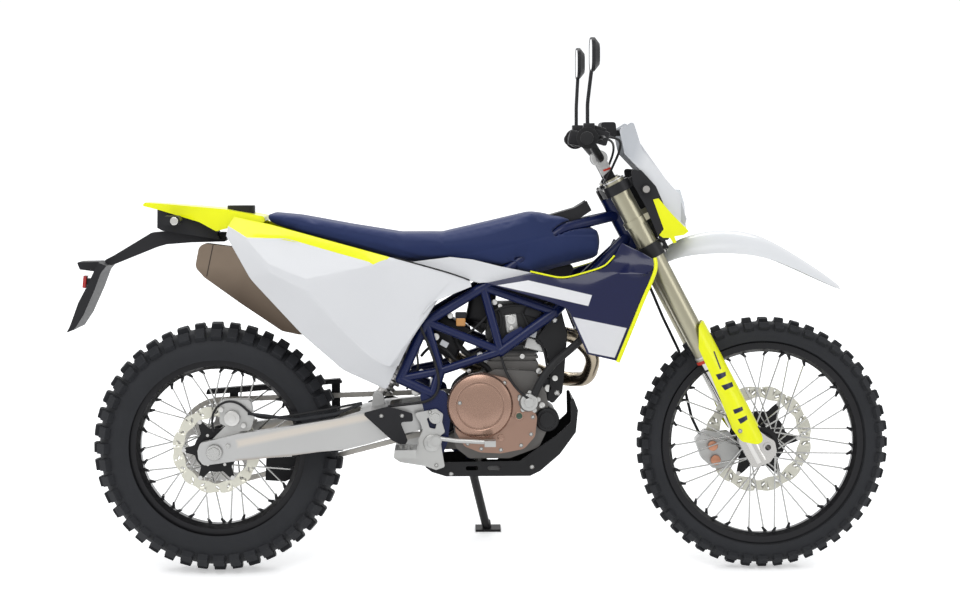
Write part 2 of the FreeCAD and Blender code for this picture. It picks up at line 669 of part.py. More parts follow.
def build_bars():
    rise = 92.0
    clamp_point = fork_point(20, 0, UPPER_CLAMP_S + rise)
    half = BAR_HALF_WIDTH
    points = []
    for side in (-1, 1):
        points.append([clamp_point + Vector(-57, side * half, 53), clamp_point + Vector(-41, side * (half - 215), 55),
                       clamp_point + Vector(0, side * 82, 0)])
    add("handlebar", bent_tube(points[0] + points[1][::-1], BAR_RADIUS, 70))
    top_face = UPPER_CLAMP_S + UPPER_CLAMP_HEIGHT / 2
    bore = rod(clamp_point - Vector(0, 60, 0), clamp_point + Vector(0, 60, 0), BAR_RADIUS + RUNNING_GAP)
    seats = []
    for y in (-36, 36):
        riser = Part.makeBox(30, 22, rise - 6 - UPPER_CLAMP_HEIGHT / 2, Vector(5, y - 11, top_face))
        cap = Part.makeCylinder(22, 26, Vector(20, y - 13, UPPER_CLAMP_S + rise), Vector(0, 1, 0))
        seats.append(in_fork(riser.fuse(cap)).cut(bore))
    PIECES["triple_clamps"] = PIECES["triple_clamps"].multiFuse(seats)
    grips = []
    levers = []
    mirrors = []
    glasses = []
    for side, corners in zip((-1, 1), points):
        outer, inner = corners[:2]
        run = (inner - outer).normalize()
        grip = rod(outer - run * 6, outer + run * GRIP_LENGTH, GRIP_RADIUS)
        flange = rod(outer + run * (GRIP_LENGTH - 6), outer + run * GRIP_LENGTH, GRIP_RADIUS + 8)
        bar_room = rod(outer, outer + run * (GRIP_LENGTH + 5), BAR_RADIUS + RUNNING_GAP)
        grips.append(grip.fuse(flange).cut(bar_room))
        perch_in = outer + run * (GRIP_LENGTH + 4)
        perch = rod(perch_in, perch_in + run * 34, PERCH_RADIUS)
        perch = perch.cut(rod(perch_in - run * 2, perch_in + run * 40, BAR_RADIUS + RUNNING_GAP))
        ahead = Vector(1, 0, 0)
        knuckle = perch_in + run * 17 + ahead * 34
        arm = rod(perch_in + run * 17 + ahead * (BAR_RADIUS + 4), knuckle, 8)
        blade = bent_tube([knuckle + Vector(0, -side * 10, 0), knuckle + Vector(6, side * 30, 0),
                           knuckle + Vector(2, side * 155, -6)], 6, 60)
        levers.append(fused([perch, arm, blade]))
        base = perch_in + run * 17 + Vector(0, 0, PERCH_RADIUS + SEAT_GAP)
        top = base + Vector(10, side * 62, 196)
        stalk = bent_tube([base, base + Vector(0, 0, 70), base + Vector(8, side * 52, 162),
                           top + Vector(6, -side * 6, -10)], 5, 50)
        back = top.x - 6
        shell = lofted([oval(back, top.y, top.z, 66, 44), oval(back + 9, top.y, top.z, 66, 44),
                        oval(back + 22, top.y, top.z, 46, 28)], True)
        pocket = Part.Face(oval(back - 1, top.y, top.z, 62, 40)).extrude(Vector(5, 0, 0))
        mirrors.append(fused([stalk, shell]).cut(pocket))
        glasses.append(Part.Face(oval(back + 0.7, top.y, top.z, 61, 39)).extrude(Vector(3, 0, 0)))
    add("grips", Part.makeCompound(grips))
    add("hand_levers", Part.makeCompound(levers))
    add("mirrors", Part.makeCompound(mirrors))
    add("mirror_glass", Part.makeCompound(glasses))


def build_front_brake():
    """Two-piston caliper over the front disc, carried on the left leg's foot, and its hose up to the clamp."""
    y = FRONT_DISC_Y
    gap = DISC_THICKNESS / 2 + 6
    outline = [Vector(x, y - 26, z) for x, z in (
        (-98, -8), (-112, 30), (-104, 84), (-66, 96), (-34, 70), (-8 - SEAT_GAP, 60), (-8 - SEAT_GAP, -10), (-60, -30))]
    body = Part.Face(ring_of(outline, 12)).extrude(Vector(0, 52, 0))
    pistons = [Part.makeCylinder(15, 7, Vector(forward, y + 26, up), Vector(0, 1, 0))
               for forward, up in ((-66, 22), (-62, 62))]
    slot = Part.makeCylinder(FRONT_DISC_RADIUS + 5, 2 * gap, Vector(STEERING_OFFSET, y - gap, 0), Vector(0, 1, 0))
    add("front_caliper", in_fork(body.multiFuse(pistons).cut(slot)))
    seat = LOWER_CLAMP_S - LOWER_CLAMP_HEIGHT / 2 - SEAT_GAP
    route = [fork_point(-84, y + 12, 91), fork_point(-82, y + 14, 140), fork_point(-60, 100, 220),
             fork_point(-24, 138, 310), fork_point(-20, 138, 420), fork_point(-12, 104, 540),
             fork_point(-11, 100, seat)]
    hose = bent_tube(route, HOSE_RADIUS, 60)
    add("front_brake_hose", hose.cut(PIECES["front_caliper"]))


# Chassis

def head_knot():
    """Low end of the steering head, where the right down tube starts."""
    return fork_point(-12, -18, LOWER_CLAMP_S + 56)


def build_frame():
    """Trellis of both sides, its cross tubes, the steering head and the pivot plates."""
    a = knot(729, 791)
    b = knot(574, 697)
    c = knot(503, 542)
    e = knot(776, 616, FRAME_Y + 4)
    h = knot(612, 563)
    i = knot(924, 722, FRAME_Y - 4)
    head_low = head_knot()
    plate_top = spot(592, -PLATE_Y - 2, 500)
    wide = TUBE_RADIUS
    tubes = [
        bent_tube(rail_route(), wide, RAIL_BEND), rod(head_low, i, wide), rod(a, b, wide), rod(b, c, wide),
        rod(a, e, BRACE_RADIUS), rod(b, e, BRACE_RADIUS), rod(b, h, BRACE_RADIUS), rod(c, h, BRACE_RADIUS),
        rod(h, e, BRACE_RADIUS), rod(e, i, wide), rod(a, i, BRACE_RADIUS), rod(h, plate_top, wide),
        rod(c, plate_top, wide),
    ]
    knots = [Part.makeSphere(wide, p) for p in (a, b, c, e, i)]
    plate = side_slab([(552, 512), (626, 512), (640, 452), (632, 372), (612, 326), (566, 326), (560, 380), (572, 440)],
                      -PLATE_Y - PLATE_THICKNESS, -PLATE_Y, 16)
    gusset = side_slab([(752, 612), (792, 626), (840, 668), (832, 684), (790, 660)], -FRAME_Y - 6, -FRAME_Y + 1, 4)
    tab = block(1030 * STRETCH, 1052 * STRETCH, -79.7, -56, 776, 814)
    side = tubes[0].multiFuse(tubes[1:] + knots + [plate, gusset, tab])
    crossings = [rod(p, Vector(p.x, -p.y, p.z), BRACE_RADIUS) for p in (a, b)]
    crossings.append(bolt(592, 514, -PLATE_Y, PLATE_Y, BRACE_RADIUS))
    crossings.append(bolt(SHOCK_TOP[0], SHOCK_TOP[1], -FRAME_Y, FRAME_Y, BRACE_RADIUS))
    low = LOWER_CLAMP_S + LOWER_CLAMP_HEIGHT / 2 + 1
    high = UPPER_CLAMP_S - UPPER_CLAMP_HEIGHT / 2 - 1
    head = rod(Vector(0, 0, low), Vector(0, 0, high), HEAD_RADIUS)
    bore = rod(Vector(0, 0, LOWER_CLAMP_S), Vector(0, 0, UPPER_CLAMP_S), STEM_RADIUS + RUNNING_GAP)
    frame = side.multiFuse([mirrored(side), in_fork(head)] + crossings).cut(in_fork(bore))
    add("trellis_frame", frame.cut(cross_rod(PIVOT_X, PIVOT_Z, -200, 200, PIVOT_RADIUS + RUNNING_GAP)))
    outer = PLATE_Y + PLATE_THICKNESS
    shaft = cross_rod(PIVOT_X, PIVOT_Z, -outer - 4, outer + 4, PIVOT_RADIUS)
    caps = [cross_rod(PIVOT_X, PIVOT_Z, side * (outer + SEAT_GAP), side * (outer + 7), 15) for side in (-1, 1)]
    add("swingarm_pivot", fused([shaft] + caps))


def build_swingarm():
    side = [(-44, 330), (-30, 312), (67, 325), (203, 337), (284, 347), (352, 352), (420, 368), (470, 384),
            (560, 404), (614, 406), (627, 440), (614, 472), (570, 474), (460, 464), (339, 438), (168, 412),
            (67, 398), (0, 382), (-38, 374), (-46, 352)]
    plan = [(-50, -138), (150, -138), (480, -122), (560, -112), (640, -112), (640, -84), (500, -84), (474, -60),
            (474, 0), (392, 0), (392, -60), (350, -92), (260, -108), (-50, -108)]
    arm = side_slab(side, -150, 0, 14).common(plan_slab(plan, 290, 490, 12))
    ears = [bolt(SHOCK_FOOT[0], SHOCK_FOOT[1], y - 4, y + 4, 15) for y in (-20, 20)]
    webs = [side_slab([(SHOCK_FOOT[0] - 20, 440), (SHOCK_FOOT[0] - 14, SHOCK_FOOT[1] + 4),
                       (SHOCK_FOOT[0] + 14, SHOCK_FOOT[1] + 4), (SHOCK_FOOT[0] + 20, 440)], y - 4, y + 4)
            for y in (-20, 20)]
    pin = bolt(SHOCK_FOOT[0], SHOCK_FOOT[1], -30, 30, 6)
    body = arm.multiFuse([mirrored(arm), pin] + ears + webs)
    body = body.cut(cross_rod(PIVOT_X, PIVOT_Z, -150, 150, PIVOT_RADIUS + RUNNING_GAP))
    body = body.cut(cross_rod(0, REAR_AXLE_Z, -150, 150, REAR_AXLE_RADIUS + RUNNING_GAP))
    add("swingarm", body)
    outer = 138
    inner = 107.7
    spacer = REAR_HUB_HALF + SEAT_GAP
    parts = [cross_rod(0, REAR_AXLE_Z, -REAR_AXLE_LENGTH / 2, REAR_AXLE_LENGTH / 2, REAR_AXLE_RADIUS)]
    for side_sign in (-1, 1):
        parts.append(cross_rod(0, REAR_AXLE_Z, side_sign * (outer + SEAT_GAP), side_sign * (outer + 9), 20))
    parts.append(cross_rod(0, REAR_AXLE_Z, spacer + 26, inner, 19))
    parts.append(cross_rod(0, REAR_AXLE_Z, -spacer - 26, -CALIPER_STAY + SEAT_GAP, 19))
    hollow = cross_rod(0, REAR_AXLE_Z, -REAR_AXLE_LENGTH, REAR_AXLE_LENGTH, REAR_AXLE_BORE)
    add("rear_axle", fused(parts).cut(hollow))


def build_shock():
    """Shock absorber between the swingarm's ears and the frame's cross tube, with its coil spring."""
    foot = spot(SHOCK_FOOT[0], 0, SHOCK_FOOT[1])
    top = spot(SHOCK_TOP[0], 0, SHOCK_TOP[1])
    length = (top - foot).Length
    core = [(0, 0), (0, 13), (24, 13), (24, 28), (30, 28), (30, 19)]
    for turn in range(5):
        start = 32 + turn * (length - 70) / 5
        core += [(start, 19), (start + 3, 30), (start + 9, 30), (start + 12, 19)]
    core += [(length - 36, 19), (length - 36, 28), (length - 28, 28), (length - 28, 16), (length, 16), (length, 0)]
    body = Part.Face(Part.makePolygon([Vector(0, r, s) for s, r in core] + [Vector(0, 0, 0)]))
    body = body.revolve(Vector(0, 0, 0), Vector(0, 0, 1), 360)
    body.Placement = Placement(foot, Rotation(Vector(0, 0, 1), top - foot))
    eyes = [rod(foot - Vector(0, 15, 0), foot + Vector(0, 15, 0), 14),
            rod(top - Vector(0, 18, 0), top + Vector(0, 18, 0), 20)]
    bores = [rod(foot - Vector(0, 40, 0), foot + Vector(0, 40, 0), 6 + RUNNING_GAP),
             rod(top - Vector(0, 40, 0), top + Vector(0, 40, 0), BRACE_RADIUS + SEAT_GAP)]
    add("shock_absorber", body.multiFuse(eyes).cut(Part.makeCompound(bores)))


def sprocket(teeth, y, hub_half, axle_radius):
    """Toothed ring bolted to the hub's left side."""
    pitch_radius = CHAIN_PITCH / (2 * math.sin(math.pi / teeth))
    root = pitch_radius - 5.2
    tip = pitch_radius + 1.6
    points = []
    for k in range(teeth):
        for part, r in ((-0.34, root), (-0.12, tip), (0.12, tip), (0.34, root)):
            a = 2 * math.pi * (k + part) / teeth
            points.append(Vector(r * math.cos(a), y - 2.9, r * math.sin(a)))
    plate = Part.Face(Part.makePolygon(points + points[:1])).extrude(Vector(0, 5.8, 0))
    plate = plate.cut(cross_rod(0, 0, y - 10, y + 10, axle_radius + 8))
    for k in range(6):
        a = math.radians(60 * k)
        plate = plate.cut(cross_rod(78 * math.cos(a), 78 * math.sin(a), y - 10, y + 10, 20))
    carrier = cross_rod(0, 0, hub_half + SEAT_GAP, y - 2.9, 50).cut(cross_rod(0, 0, 0, y, axle_radius + RUNNING_GAP + 7))
    return plate.fuse(carrier)


def build_chain():
    """Fixed loop of outer links over both sprockets, open inward for the turning teeth."""
    rear = CHAIN_PITCH / (2 * math.sin(math.pi / SPROCKET_TEETH)) + 4.8
    front = CHAIN_PITCH / (2 * math.sin(math.pi / PINION_TEETH)) + 4.8
    c0 = Vector(0, 0, REAR_AXLE_Z)
    c1 = Vector(PINION_X, 0, PINION_Z)
    span = c1 - c0
    slope = math.atan2(span.z, span.x)
    tilt = math.asin((rear - front) / span.Length)
    run = span.Length * math.cos(tilt)
    front_wrap = math.pi - 2 * tilt
    rear_wrap = math.pi + 2 * tilt
    total = 2 * run + front * front_wrap + rear * rear_wrap

    def at(s, offset):
        """Point at a length along the loop, from the rear sprocket's top forward."""
        up = slope + math.pi / 2 - tilt
        if s < run:
            base = c0 + Vector(math.cos(up), 0, math.sin(up)) * (rear + offset)
            return base + Vector(math.sin(up), 0, -math.cos(up)) * s
        s -= run
        if s < front * front_wrap:
            a = up - s / front
            return c1 + Vector(math.cos(a), 0, math.sin(a)) * (front + offset)
        s -= front * front_wrap
        down = up - front_wrap
        if s < run:
            base = c1 + Vector(math.cos(down), 0, math.sin(down)) * (front + offset)
            return base + Vector(math.sin(down), 0, -math.cos(down)) * s
        a = down - (s - run) / rear
        return c0 + Vector(math.cos(a), 0, math.sin(a)) * (rear + offset)

    links = 2 * round(total / (4 * CHAIN_PITCH))

    def loop(steps, offset, waist, y, wide):
        points = []
        for k in range(steps):
            point = at(k * total / steps, offset - (waist if k % 2 else 0))
            points.append(Vector(point.x, y, point.z))
        return Part.Face(Part.makePolygon(points + points[:1])).extrude(Vector(0, wide, 0))

    half = CHAIN_HEIGHT / 2
    outer = loop(2 * links, half, CHAIN_WAIST, CHAIN_Y - CHAIN_WIDTH / 2, CHAIN_WIDTH)
    inner = loop(links, -half, 0, CHAIN_Y - CHAIN_WIDTH / 2 - 1, CHAIN_WIDTH + 2)
    groove = loop(links, -1.0, 0, CHAIN_Y - 3.6, 7.2)
    add("chain", outer.cut(inner).cut(groove))


def build_engine():
    """Crankcase with its mounts, pinion and shift shaft; covers; finned cylinder and head; head brackets."""
    case = side_slab([(652, 352), (642, 470), (668, 530), (728, 548), (760, 566), (870, 560), (900, 500), (912, 420), (880, 352),
                      (800, 322), (690, 322)], -98, 78, 18)
    neck = side_slab([(720, 540), (880, 540), (880, 585), (740, 585)], -70, 70, 8)
    pinion_radius = CHAIN_PITCH / (2 * math.sin(math.pi / PINION_TEETH)) - 4.2
    parts = [
        case, neck, cross_rod(PINION_X, PINION_Z, 60, CHAIN_Y, 14),
        cross_rod(PINION_X, PINION_Z, CHAIN_Y - 2.9, CHAIN_Y + 2.9, pinion_radius),
        bolt(849, 479, -140, -98, 25), bolt(900, 432, -70, 60, 30), bolt(905, 500, -60, 60, 26),
        bolt(ENGINE_FRONT[0], ENGINE_FRONT[1], -79.7, 79.7, 10),
        bolt(ENGINE_REAR[0], ENGINE_REAR[1], SEAT_GAP - PLATE_Y, PLATE_Y - SEAT_GAP, 11),
        side_slab([(596, 339), (600, 361), (664, 392), (664, 340)], -36, 36),
        bolt(SHIFT_SHAFT[0], SHIFT_SHAFT[1], 70, 155, 6.5),
    ]
    for y in (-60, 60):
        parts.append(rod(spot(718, y, SKID_FLOOR + 4 + SEAT_GAP), spot(718, y, 330), 10))
    add("crankcase", fused(parts))
    fins = []
    cylinder = side_slab([(748, 585.3), (742, 640), (866, 640), (872, 585.3)], -62, 62, 6)
    for k in range(3):
        z = 592 + 16 * k
        fins.append(side_slab([(738, z), (738, z + 6), (880, z + 6), (880, z)], -70, 70, 2))
    head = side_slab([(736, 640), (740, 700), (762, 742), (850, 742), (884, 708), (890, 640)], -78, 74, 12)
    rib = side_slab([(750, 706), (752, 714), (872, 714), (876, 706)], -82, 78, 2)
    port = rod(spot(880, 0, 668), spot(920, 0, 660), 27)
    intake = rod(spot(745, 0, 680), spot(690, 0, 720), 32)
    bore = rod(spot(900, 0, 664), spot(925, 0, 659), 15)
    add("cylinder", fused([cylinder, head, rib, port, intake] + fins).cut(bore))
    clutch = [(650, 470), (668, 540), (722, 560), (790, 545), (836, 500), (874, 440), (868, 386), (838, 352),
              (775, 340), (718, 343), (676, 360), (652, 400)]
    cover = side_slab(clutch, -134, -98.3, 24)
    drum = bolt(719, 472, -150, -130, 62).cut(bolt(719, 472, -151, -147, 52))
    cap = bolt(719, 472, -149, -140, 40)
    oil_cap = bolt(800, 430, -139, -130, 11)
    cover = cover.multiFuse([drum, cap, oil_cap]).cut(bolt(849, 479, -160, -90, 25 + SEAT_GAP))
    magneto = side_slab([(744, 356), (738, 430), (752, 506), (806, 526), (868, 500), (886, 430), (860, 360),
                         (806, 342)], 78.3, 122, 24)
    boss = bolt(812, 436, 118, 128, 46)
    add("engine_covers", Part.makeCompound([cover, magneto.fuse(boss)]))
    bracket = side_slab([(868, 640), (905, 690), (908, 736), (938, 740), (958, 660), (950, 560), (944, 500), (918, 470),
                         (904, 480), (914, 560), (900, 620)], -92, -80, 8)
    room = TUBE_RADIUS + SEAT_GAP
    i = knot(924, 722, FRAME_Y - 4)
    rooms = [Part.makeSphere(room, i), rod(head_knot(), i, room),
             rod(knot(776, 616, FRAME_Y + 4), i, room), rod(knot(729, 791), i, BRACE_RADIUS + SEAT_GAP)]
    bracket = bracket.cut(Part.makeCompound(rooms))
    solids = sorted(bracket.Solids, key=lambda solid: solid.Volume)
    add("engine_brackets", both_sides(solids[-1]))


def exhaust_route():
    """From the head's port down, back along the left of the engine and up to the silencer on the right."""
    return [
        spot(920.3, 0, 659.9), spot(985, 0, 647), spot(1040, 12, 590), spot(1022, 56, 522), spot(968, 114, 516),
        spot(905, 118, 532), spot(850, 112, 556), spot(706, 107, 548), spot(652, 58, 584), spot(592, 30, 652),
        spot(500, -40, 672), spot(400, -84, 690),
    ]


def build_exhaust():
    route = exhaust_route()
    flange = rod(route[0], route[0] + (route[1] - route[0]).normalize() * 8, 27)
    add("exhaust_pipe", bent_tube(route, EXHAUST_RADIUS, EXHAUST_BEND).fuse(flange))
    body = side_slab([(-49, 848), (-24, 820), (71, 751), (184, 674), (230, 664), (380, 664), (400, 700), (396, 760),
                      (300, 830), (150, 890), (-36, 914)], -110, -56, 22)
    room = bent_tube(route[-3:], EXHAUST_RADIUS + SEAT_GAP, EXHAUST_BEND)
    outlet = rod(spot(-60, -83, 880), spot(-10, -83, 866), 17)
    add("silencer", body.cut(room).cut(outlet))


def build_body():
    """Rear body that holds the tank, its side panels and tail, the seat and the air box under its nose."""
    tank_side = [(42, 938), (50, 880), (126, 790), (226, 690), (330, 650), (430, 630), (510, 640), (548, 690),
                 (580, 750), (690, 812), (640, 850), (536, 846), (420, 872), (330, 895), (230, 928), (140, 944)]
    tank = side_slab(tank_side, -TANK_HALF, TANK_HALF, 14)
    silencer_room = side_slab([(-60, 930), (-60, 780), (180, 650), (430, 630), (436, 720), (420, 790), (300, 860),
                               (150, 925)], -130, -56, 10)
    wheel_room = cross_rod(0, REAR_AXLE_Z, -TANK_HALF, TANK_HALF, REAR_RADIUS + 60)
    frame_room = side_slab([(470, 500), (470, 560), (556, 720), (740, 830), (800, 800), (600, 500)], -150, -86, 4)
    route = exhaust_route()
    cap_room = rod(Vector(68, 0, 900), Vector(68, 0, 1040), CAP_RADIUS + SEAT_GAP)
    rooms = [silencer_room, wheel_room, frame_room, mirrored(frame_room), cap_room,
             bent_tube(route[-5:], EXHAUST_RADIUS + 8, EXHAUST_BEND)]
    for p in (knot(574, 697), knot(729, 791)):
        rooms.append(rod(p, Vector(p.x, -p.y, p.z), BRACE_RADIUS + SEAT_GAP))
    for room in rooms:
        tank = tank.cut(room)
    add("rear_tank", tank)

    skin = panel_skin([(-20, (-130, 480), (-132, 760), (-92, 1020)), (300, (-132, 480), (-146, 730), (-100, 1020)),
                       (740, (-132, 480), (-142, 700), (-116, 1020))])
    panel_side = side_slab([(37, 960), (32, 922), (74, 847), (127, 779), (180, 725), (287, 610), (341, 569), (395, 544),
                            (470, 514), (503, 582), (558, 704), (585, 752), (653, 779), (701, 798), (688, 813),
                            (534, 858), (370, 904), (236, 944), (142, 973), (75, 989), (43, 995)], -170, -60, 6)
    panel = skin.common(panel_side)
    pegs = []
    for x, z in ((600, 800), (345, 864)):
        low, high = reach_of(panel, x * STRETCH, z)
        pegs.append(bolt(x, z, (low + high) / 2, -TANK_HALF - SEAT_GAP, 8))
    add("side_panels", both_sides(panel.multiFuse(pegs)))

    tail_side = [(-199, 1013), (-191, 1022), (-120, 1017), (29, 1004), (136, 984), (140, 968), (60, 958), (6, 944),
                 (-40, 969), (-148, 1001)]
    tail = side_slab(tail_side, -96, 96, 6)
    tail_plan = plan_slab([(-205, -40), (-120, -62), (40, -88), (145, -92), (145, 92), (40, 88), (-120, 62),
                           (-205, 40)], 900, 1040, 20)
    add("tail_fairing", tail.common(tail_plan).cut(cap_room))
    add("filler_cap", rod(Vector(68, 0, 920), Vector(68, 0, 1012), CAP_RADIUS))

    sections = []
    for x, low, high, half_low, half_high in (
            (142, 974, 990, 78, 70), (232, 946, 980, 104, 88), (370, 906, 954, 112, 96), (505, 866, 932, 112, 98),
            (620, 866, 932, 112, 92), (760, 848, 964, 112, 84), (862, 828, 988, 106, 76), (950, 850, 974, 98, 66),
            (1045, 874, 944, 84, 52)):
        corners = [spot(x, -half_low, low), spot(x, half_low, low), spot(x, half_low, (low + high) / 2),
                   spot(x, half_high, high), spot(x, -half_high, high), spot(x, -half_low, (low + high) / 2)]
        sections.append(ring_of(corners, 12))
    seat = lofted(sections, True)
    feet = []
    for x, y in ((300, -40), (300, 40), (560, -50), (560, 50)):
        base = depth_of(tank, x * STRETCH, y)[1] + SEAT_GAP
        under = depth_of(seat, x * STRETCH, y)[0] + 3
        feet.append(rod(spot(x, y, base), spot(x, y, under), 12))
    seat = seat.multiFuse([foot.cut(tank) for foot in feet])
    rail_room = bent_tube(rail_route(), TUBE_RADIUS + 2, RAIL_BEND)
    sweep = in_fork(Part.makeCylinder(CLAMP_SWEEP, 60, Vector(0, 0, UPPER_CLAMP_S - 30), Vector(0, 0, 1)))
    add("seat", seat.cut(rail_room).cut(mirrored(rail_room)).cut(top_cover(SEAT_GAP)))
    box = side_slab([(716, 808), (714, 774), (770, 774), (880, 750), (950, 790), (985, 850), (940, 840), (900, 831),
                     (862, 820), (820, 826), (760, 826)], -84, 84, 8)
    box = box.common(plan_slab([(700, -76), (740, -76), (990, -42), (990, 42), (740, 76), (700, 76)], 700, 900))
    box = box.cut(rod(knot(729, 791), knot(729, 791) + Vector(0, 2 * FRAME_Y, 0), BRACE_RADIUS + SEAT_GAP))
    cover = top_cover(0).cut(rail_room).cut(mirrored(rail_room)).cut(sweep)
    add("air_box", Part.makeCompound([box, cover]))


def top_cover(gap):
    """Dark cover between the seat's nose and the upper clamp; a gap makes the room that it needs."""
    outline = [(900 - gap, 950 - gap), (900 - gap, 979 + gap), (981, 1002 + gap), (1034, 1034 + gap),
               (1043 + gap, 1028), (1041 + gap, 1004), (960, 950 - gap)]
    return side_slab(outline, -43 - gap, 43 + gap, 6)


def build_shrouds():
    """Side shrouds, each on two bosses of its radiator."""
    skin = panel_skin([(720, (-136, 560), (-140, 740), (-116, 930)), (960, (-150, 560), (-164, 740), (-128, 930)),
                       (1230, (-182, 560), (-198, 740), (-172, 930))])
    outline = side_slab([(1100, 911), (1151, 887), (1189, 865), (1197, 860), (1180, 817), (1156, 763), (1122, 677),
                         (1095, 594), (1081, 594), (1006, 613), (960, 727), (950, 738), (907, 754), (826, 778),
                         (733, 806), (861, 832), (942, 815), (1054, 847), (1081, 876)], -220, -90, 6)
    shroud = skin.common(outline)
    bosses = []
    for x, z in ((1036, 762), (1008, 690)):
        low, high = reach_of(shroud, x * STRETCH, z)
        bosses.append(bolt(x, z, (low + high) / 2, -RADIATOR_OUTER - SEAT_GAP, 7))
    add("shrouds", both_sides(shroud.multiFuse(bosses)))
    core = side_slab([(988, 652), (1006, 652), (1056, 788), (1038, 792)], -RADIATOR_OUTER, -RADIATOR_INNER)
    tanks = [side_slab([(984, 640), (1010, 640), (1015, 656), (989, 660)], -RADIATOR_OUTER, -RADIATOR_INNER, 4),
             side_slab([(1034, 784), (1060, 780), (1068, 796), (1042, 802)], -RADIATOR_OUTER, -RADIATOR_INNER, 4)]
    add("radiators", both_sides(core.multiFuse(tanks)))


def build_lower_side():
    """Skid plate, footrests with their guards, foot levers, rear caliper with its hose, and the chain's guards."""
    tray_outline = [(569, 301), (588, 287), (626, SKID_FLOOR), (855, SKID_FLOOR), (882, 288), (936, 334), (980, 394),
                    (986, 454), (974, 486), (966, 486), (967, 422), (926, 384), (860, 340), (827, 316), (637, 314),
                    (572, 310)]
    inside = SKID_FLOOR + 4
    hollow_outline = [(560, 330), (590, 292), (628, inside), (853, inside), (878, 292), (931, 337), (975, 396),
                      (981, 454), (969, 500), (900, 500), (860, 400), (800, 360)]
    tray = side_slab(tray_outline, -SKID_HALF, SKID_HALF, 8)
    tray = tray.cut(side_slab(hollow_outline, 4 - SKID_HALF, SKID_HALF - 4, 6))
    drains = [side_slab([(x, 291), (x, 303), (x + 34, 303), (x + 34, 291)], -150, 150, 5) for x in (680, 740)]
    add("skid_plate", tray.cut(Part.makeCompound(drains)))
    bracket = side_slab([(540, 452), (600, 463), (619, 449), (616, 427), (624, 400), (610, 389), (615, 351), (623, 305),
                         (599, 297), (569, 308), (502, 319), (485, 330), (487, 356), (545, 361), (554, 368),
                         (551, 379), (564, 406), (556, 428)], -142, -133.3, 6)
    window = side_slab([(574, 438), (598, 444), (603, 432), (598, 408), (582, 412)], -150, -130, 4)
    peg = block(490 * STRETCH, 548 * STRETCH, -142 - PEG_LENGTH, -142, 345, 367)
    grooves = [block((x - 4) * STRETCH, (x + 4) * STRETCH, -142 - PEG_LENGTH + 8, -160, 360, 370)
               for x in (504, 519, 534)]
    rest = bracket.cut(window).fuse(peg).cut(Part.makeCompound(grooves))
    stub = bolt(PEDAL_PIVOT[0], PEDAL_PIVOT[1], -158, -138, 8)
    stub_head = bolt(PEDAL_PIVOT[0], PEDAL_PIVOT[1], -161, -157.3, 12)
    add("footrests", Part.makeCompound([rest.multiFuse([stub, stub_head]), mirrored(rest)]))
    heel = side_slab([(400, 453), (470, 471), (536, 452), (538, 430), (503, 428), (523, 378), (513, 362), (480, 379)],
                     -145.6, -142.3, 6)
    heel = heel.cut(block(489 * STRETCH, 549 * STRETCH, -150, -140, 344, 368))
    add("heel_guards", both_sides(heel))
    eye = bolt(PEDAL_PIVOT[0], PEDAL_PIVOT[1], -157, -145, 15)
    pedal = bent_tube([spot(606, -150, 384), spot(656, -155, 378), spot(752, -166, 374)], 6, 40)
    toe = block(730 * STRETCH, 760 * STRETCH, -200, -160, 366, 382)
    pedal = fused([eye, pedal, toe]).cut(bolt(PEDAL_PIVOT[0], PEDAL_PIVOT[1], -170, -140, 8 + RUNNING_GAP))
    knob = bolt(SHIFT_SHAFT[0], SHIFT_SHAFT[1], 141, 153, 14)
    shift = bent_tube([spot(SHIFT_SHAFT[0] + 4, 147, SHIFT_SHAFT[1] + 1), spot(760, 152, 384), spot(812, 160, 400)],
                      5.5, 40)
    lever = fused([knob, shift, bolt(812, 400, 156, 200, 9)])
    lever = lever.cut(bolt(SHIFT_SHAFT[0], SHIFT_SHAFT[1], 130, 170, 6.5 + RUNNING_GAP))
    add("foot_levers", Part.makeCompound([pedal, lever]))
    stay = side_slab([(-20, 336), (-20, 368), (40, 428), (70, 428), (70, 404), (22, 334)], -107.7, -CALIPER_STAY, 10)
    caliper = side_slab([(12, 424), (14, 486), (96, 488), (104, 430), (96, 404), (60, 400)], REAR_DISC_Y - 24,
                        REAR_DISC_Y + 24, 10)
    slot = cross_rod(0, REAR_AXLE_Z, REAR_DISC_Y - DISC_THICKNESS / 2 - 6, REAR_DISC_Y + DISC_THICKNESS / 2 + 6,
                     REAR_DISC_RADIUS + 5)
    axle_room = cross_rod(0, REAR_AXLE_Z, -150, 0, REAR_AXLE_RADIUS + RUNNING_GAP)
    add("rear_caliper", caliper.cut(slot).fuse(stay).cut(axle_room))
    route = [spot(90, -114, 450), spot(140, -126, 446), spot(220, -143, 436), spot(330, -143, 452),
             spot(400, -138, 478)]
    add("rear_brake_hose", bent_tube(route, HOSE_RADIUS, 60))
    cover = side_slab([(-44, 482), (-40, 496), (60, 504), (330, 524), (338, 512), (60, 488)], 82, 113, 2)
    feet = [side_slab([(x, low), (x, high), (x + 24, high), (x + 24, low + rise)], 109, 113)
            for x, low, rise, high in ((20, 386.8 + SEAT_GAP, 5.7, 494), (306, 433 + SEAT_GAP, 3.65, 514))]
    guide = side_slab([(120, 240), (124, 329.6), (203, 336.6), (216, 338.2), (226, 262), (176, 236)], 80, 112)
    run_room = side_slab([(90, 238), (250, 279), (250, 301), (90, 260)], 84, 106)
    add("chain_guards", Part.makeCompound([fused([cover] + feet), guide.cut(run_room)]))


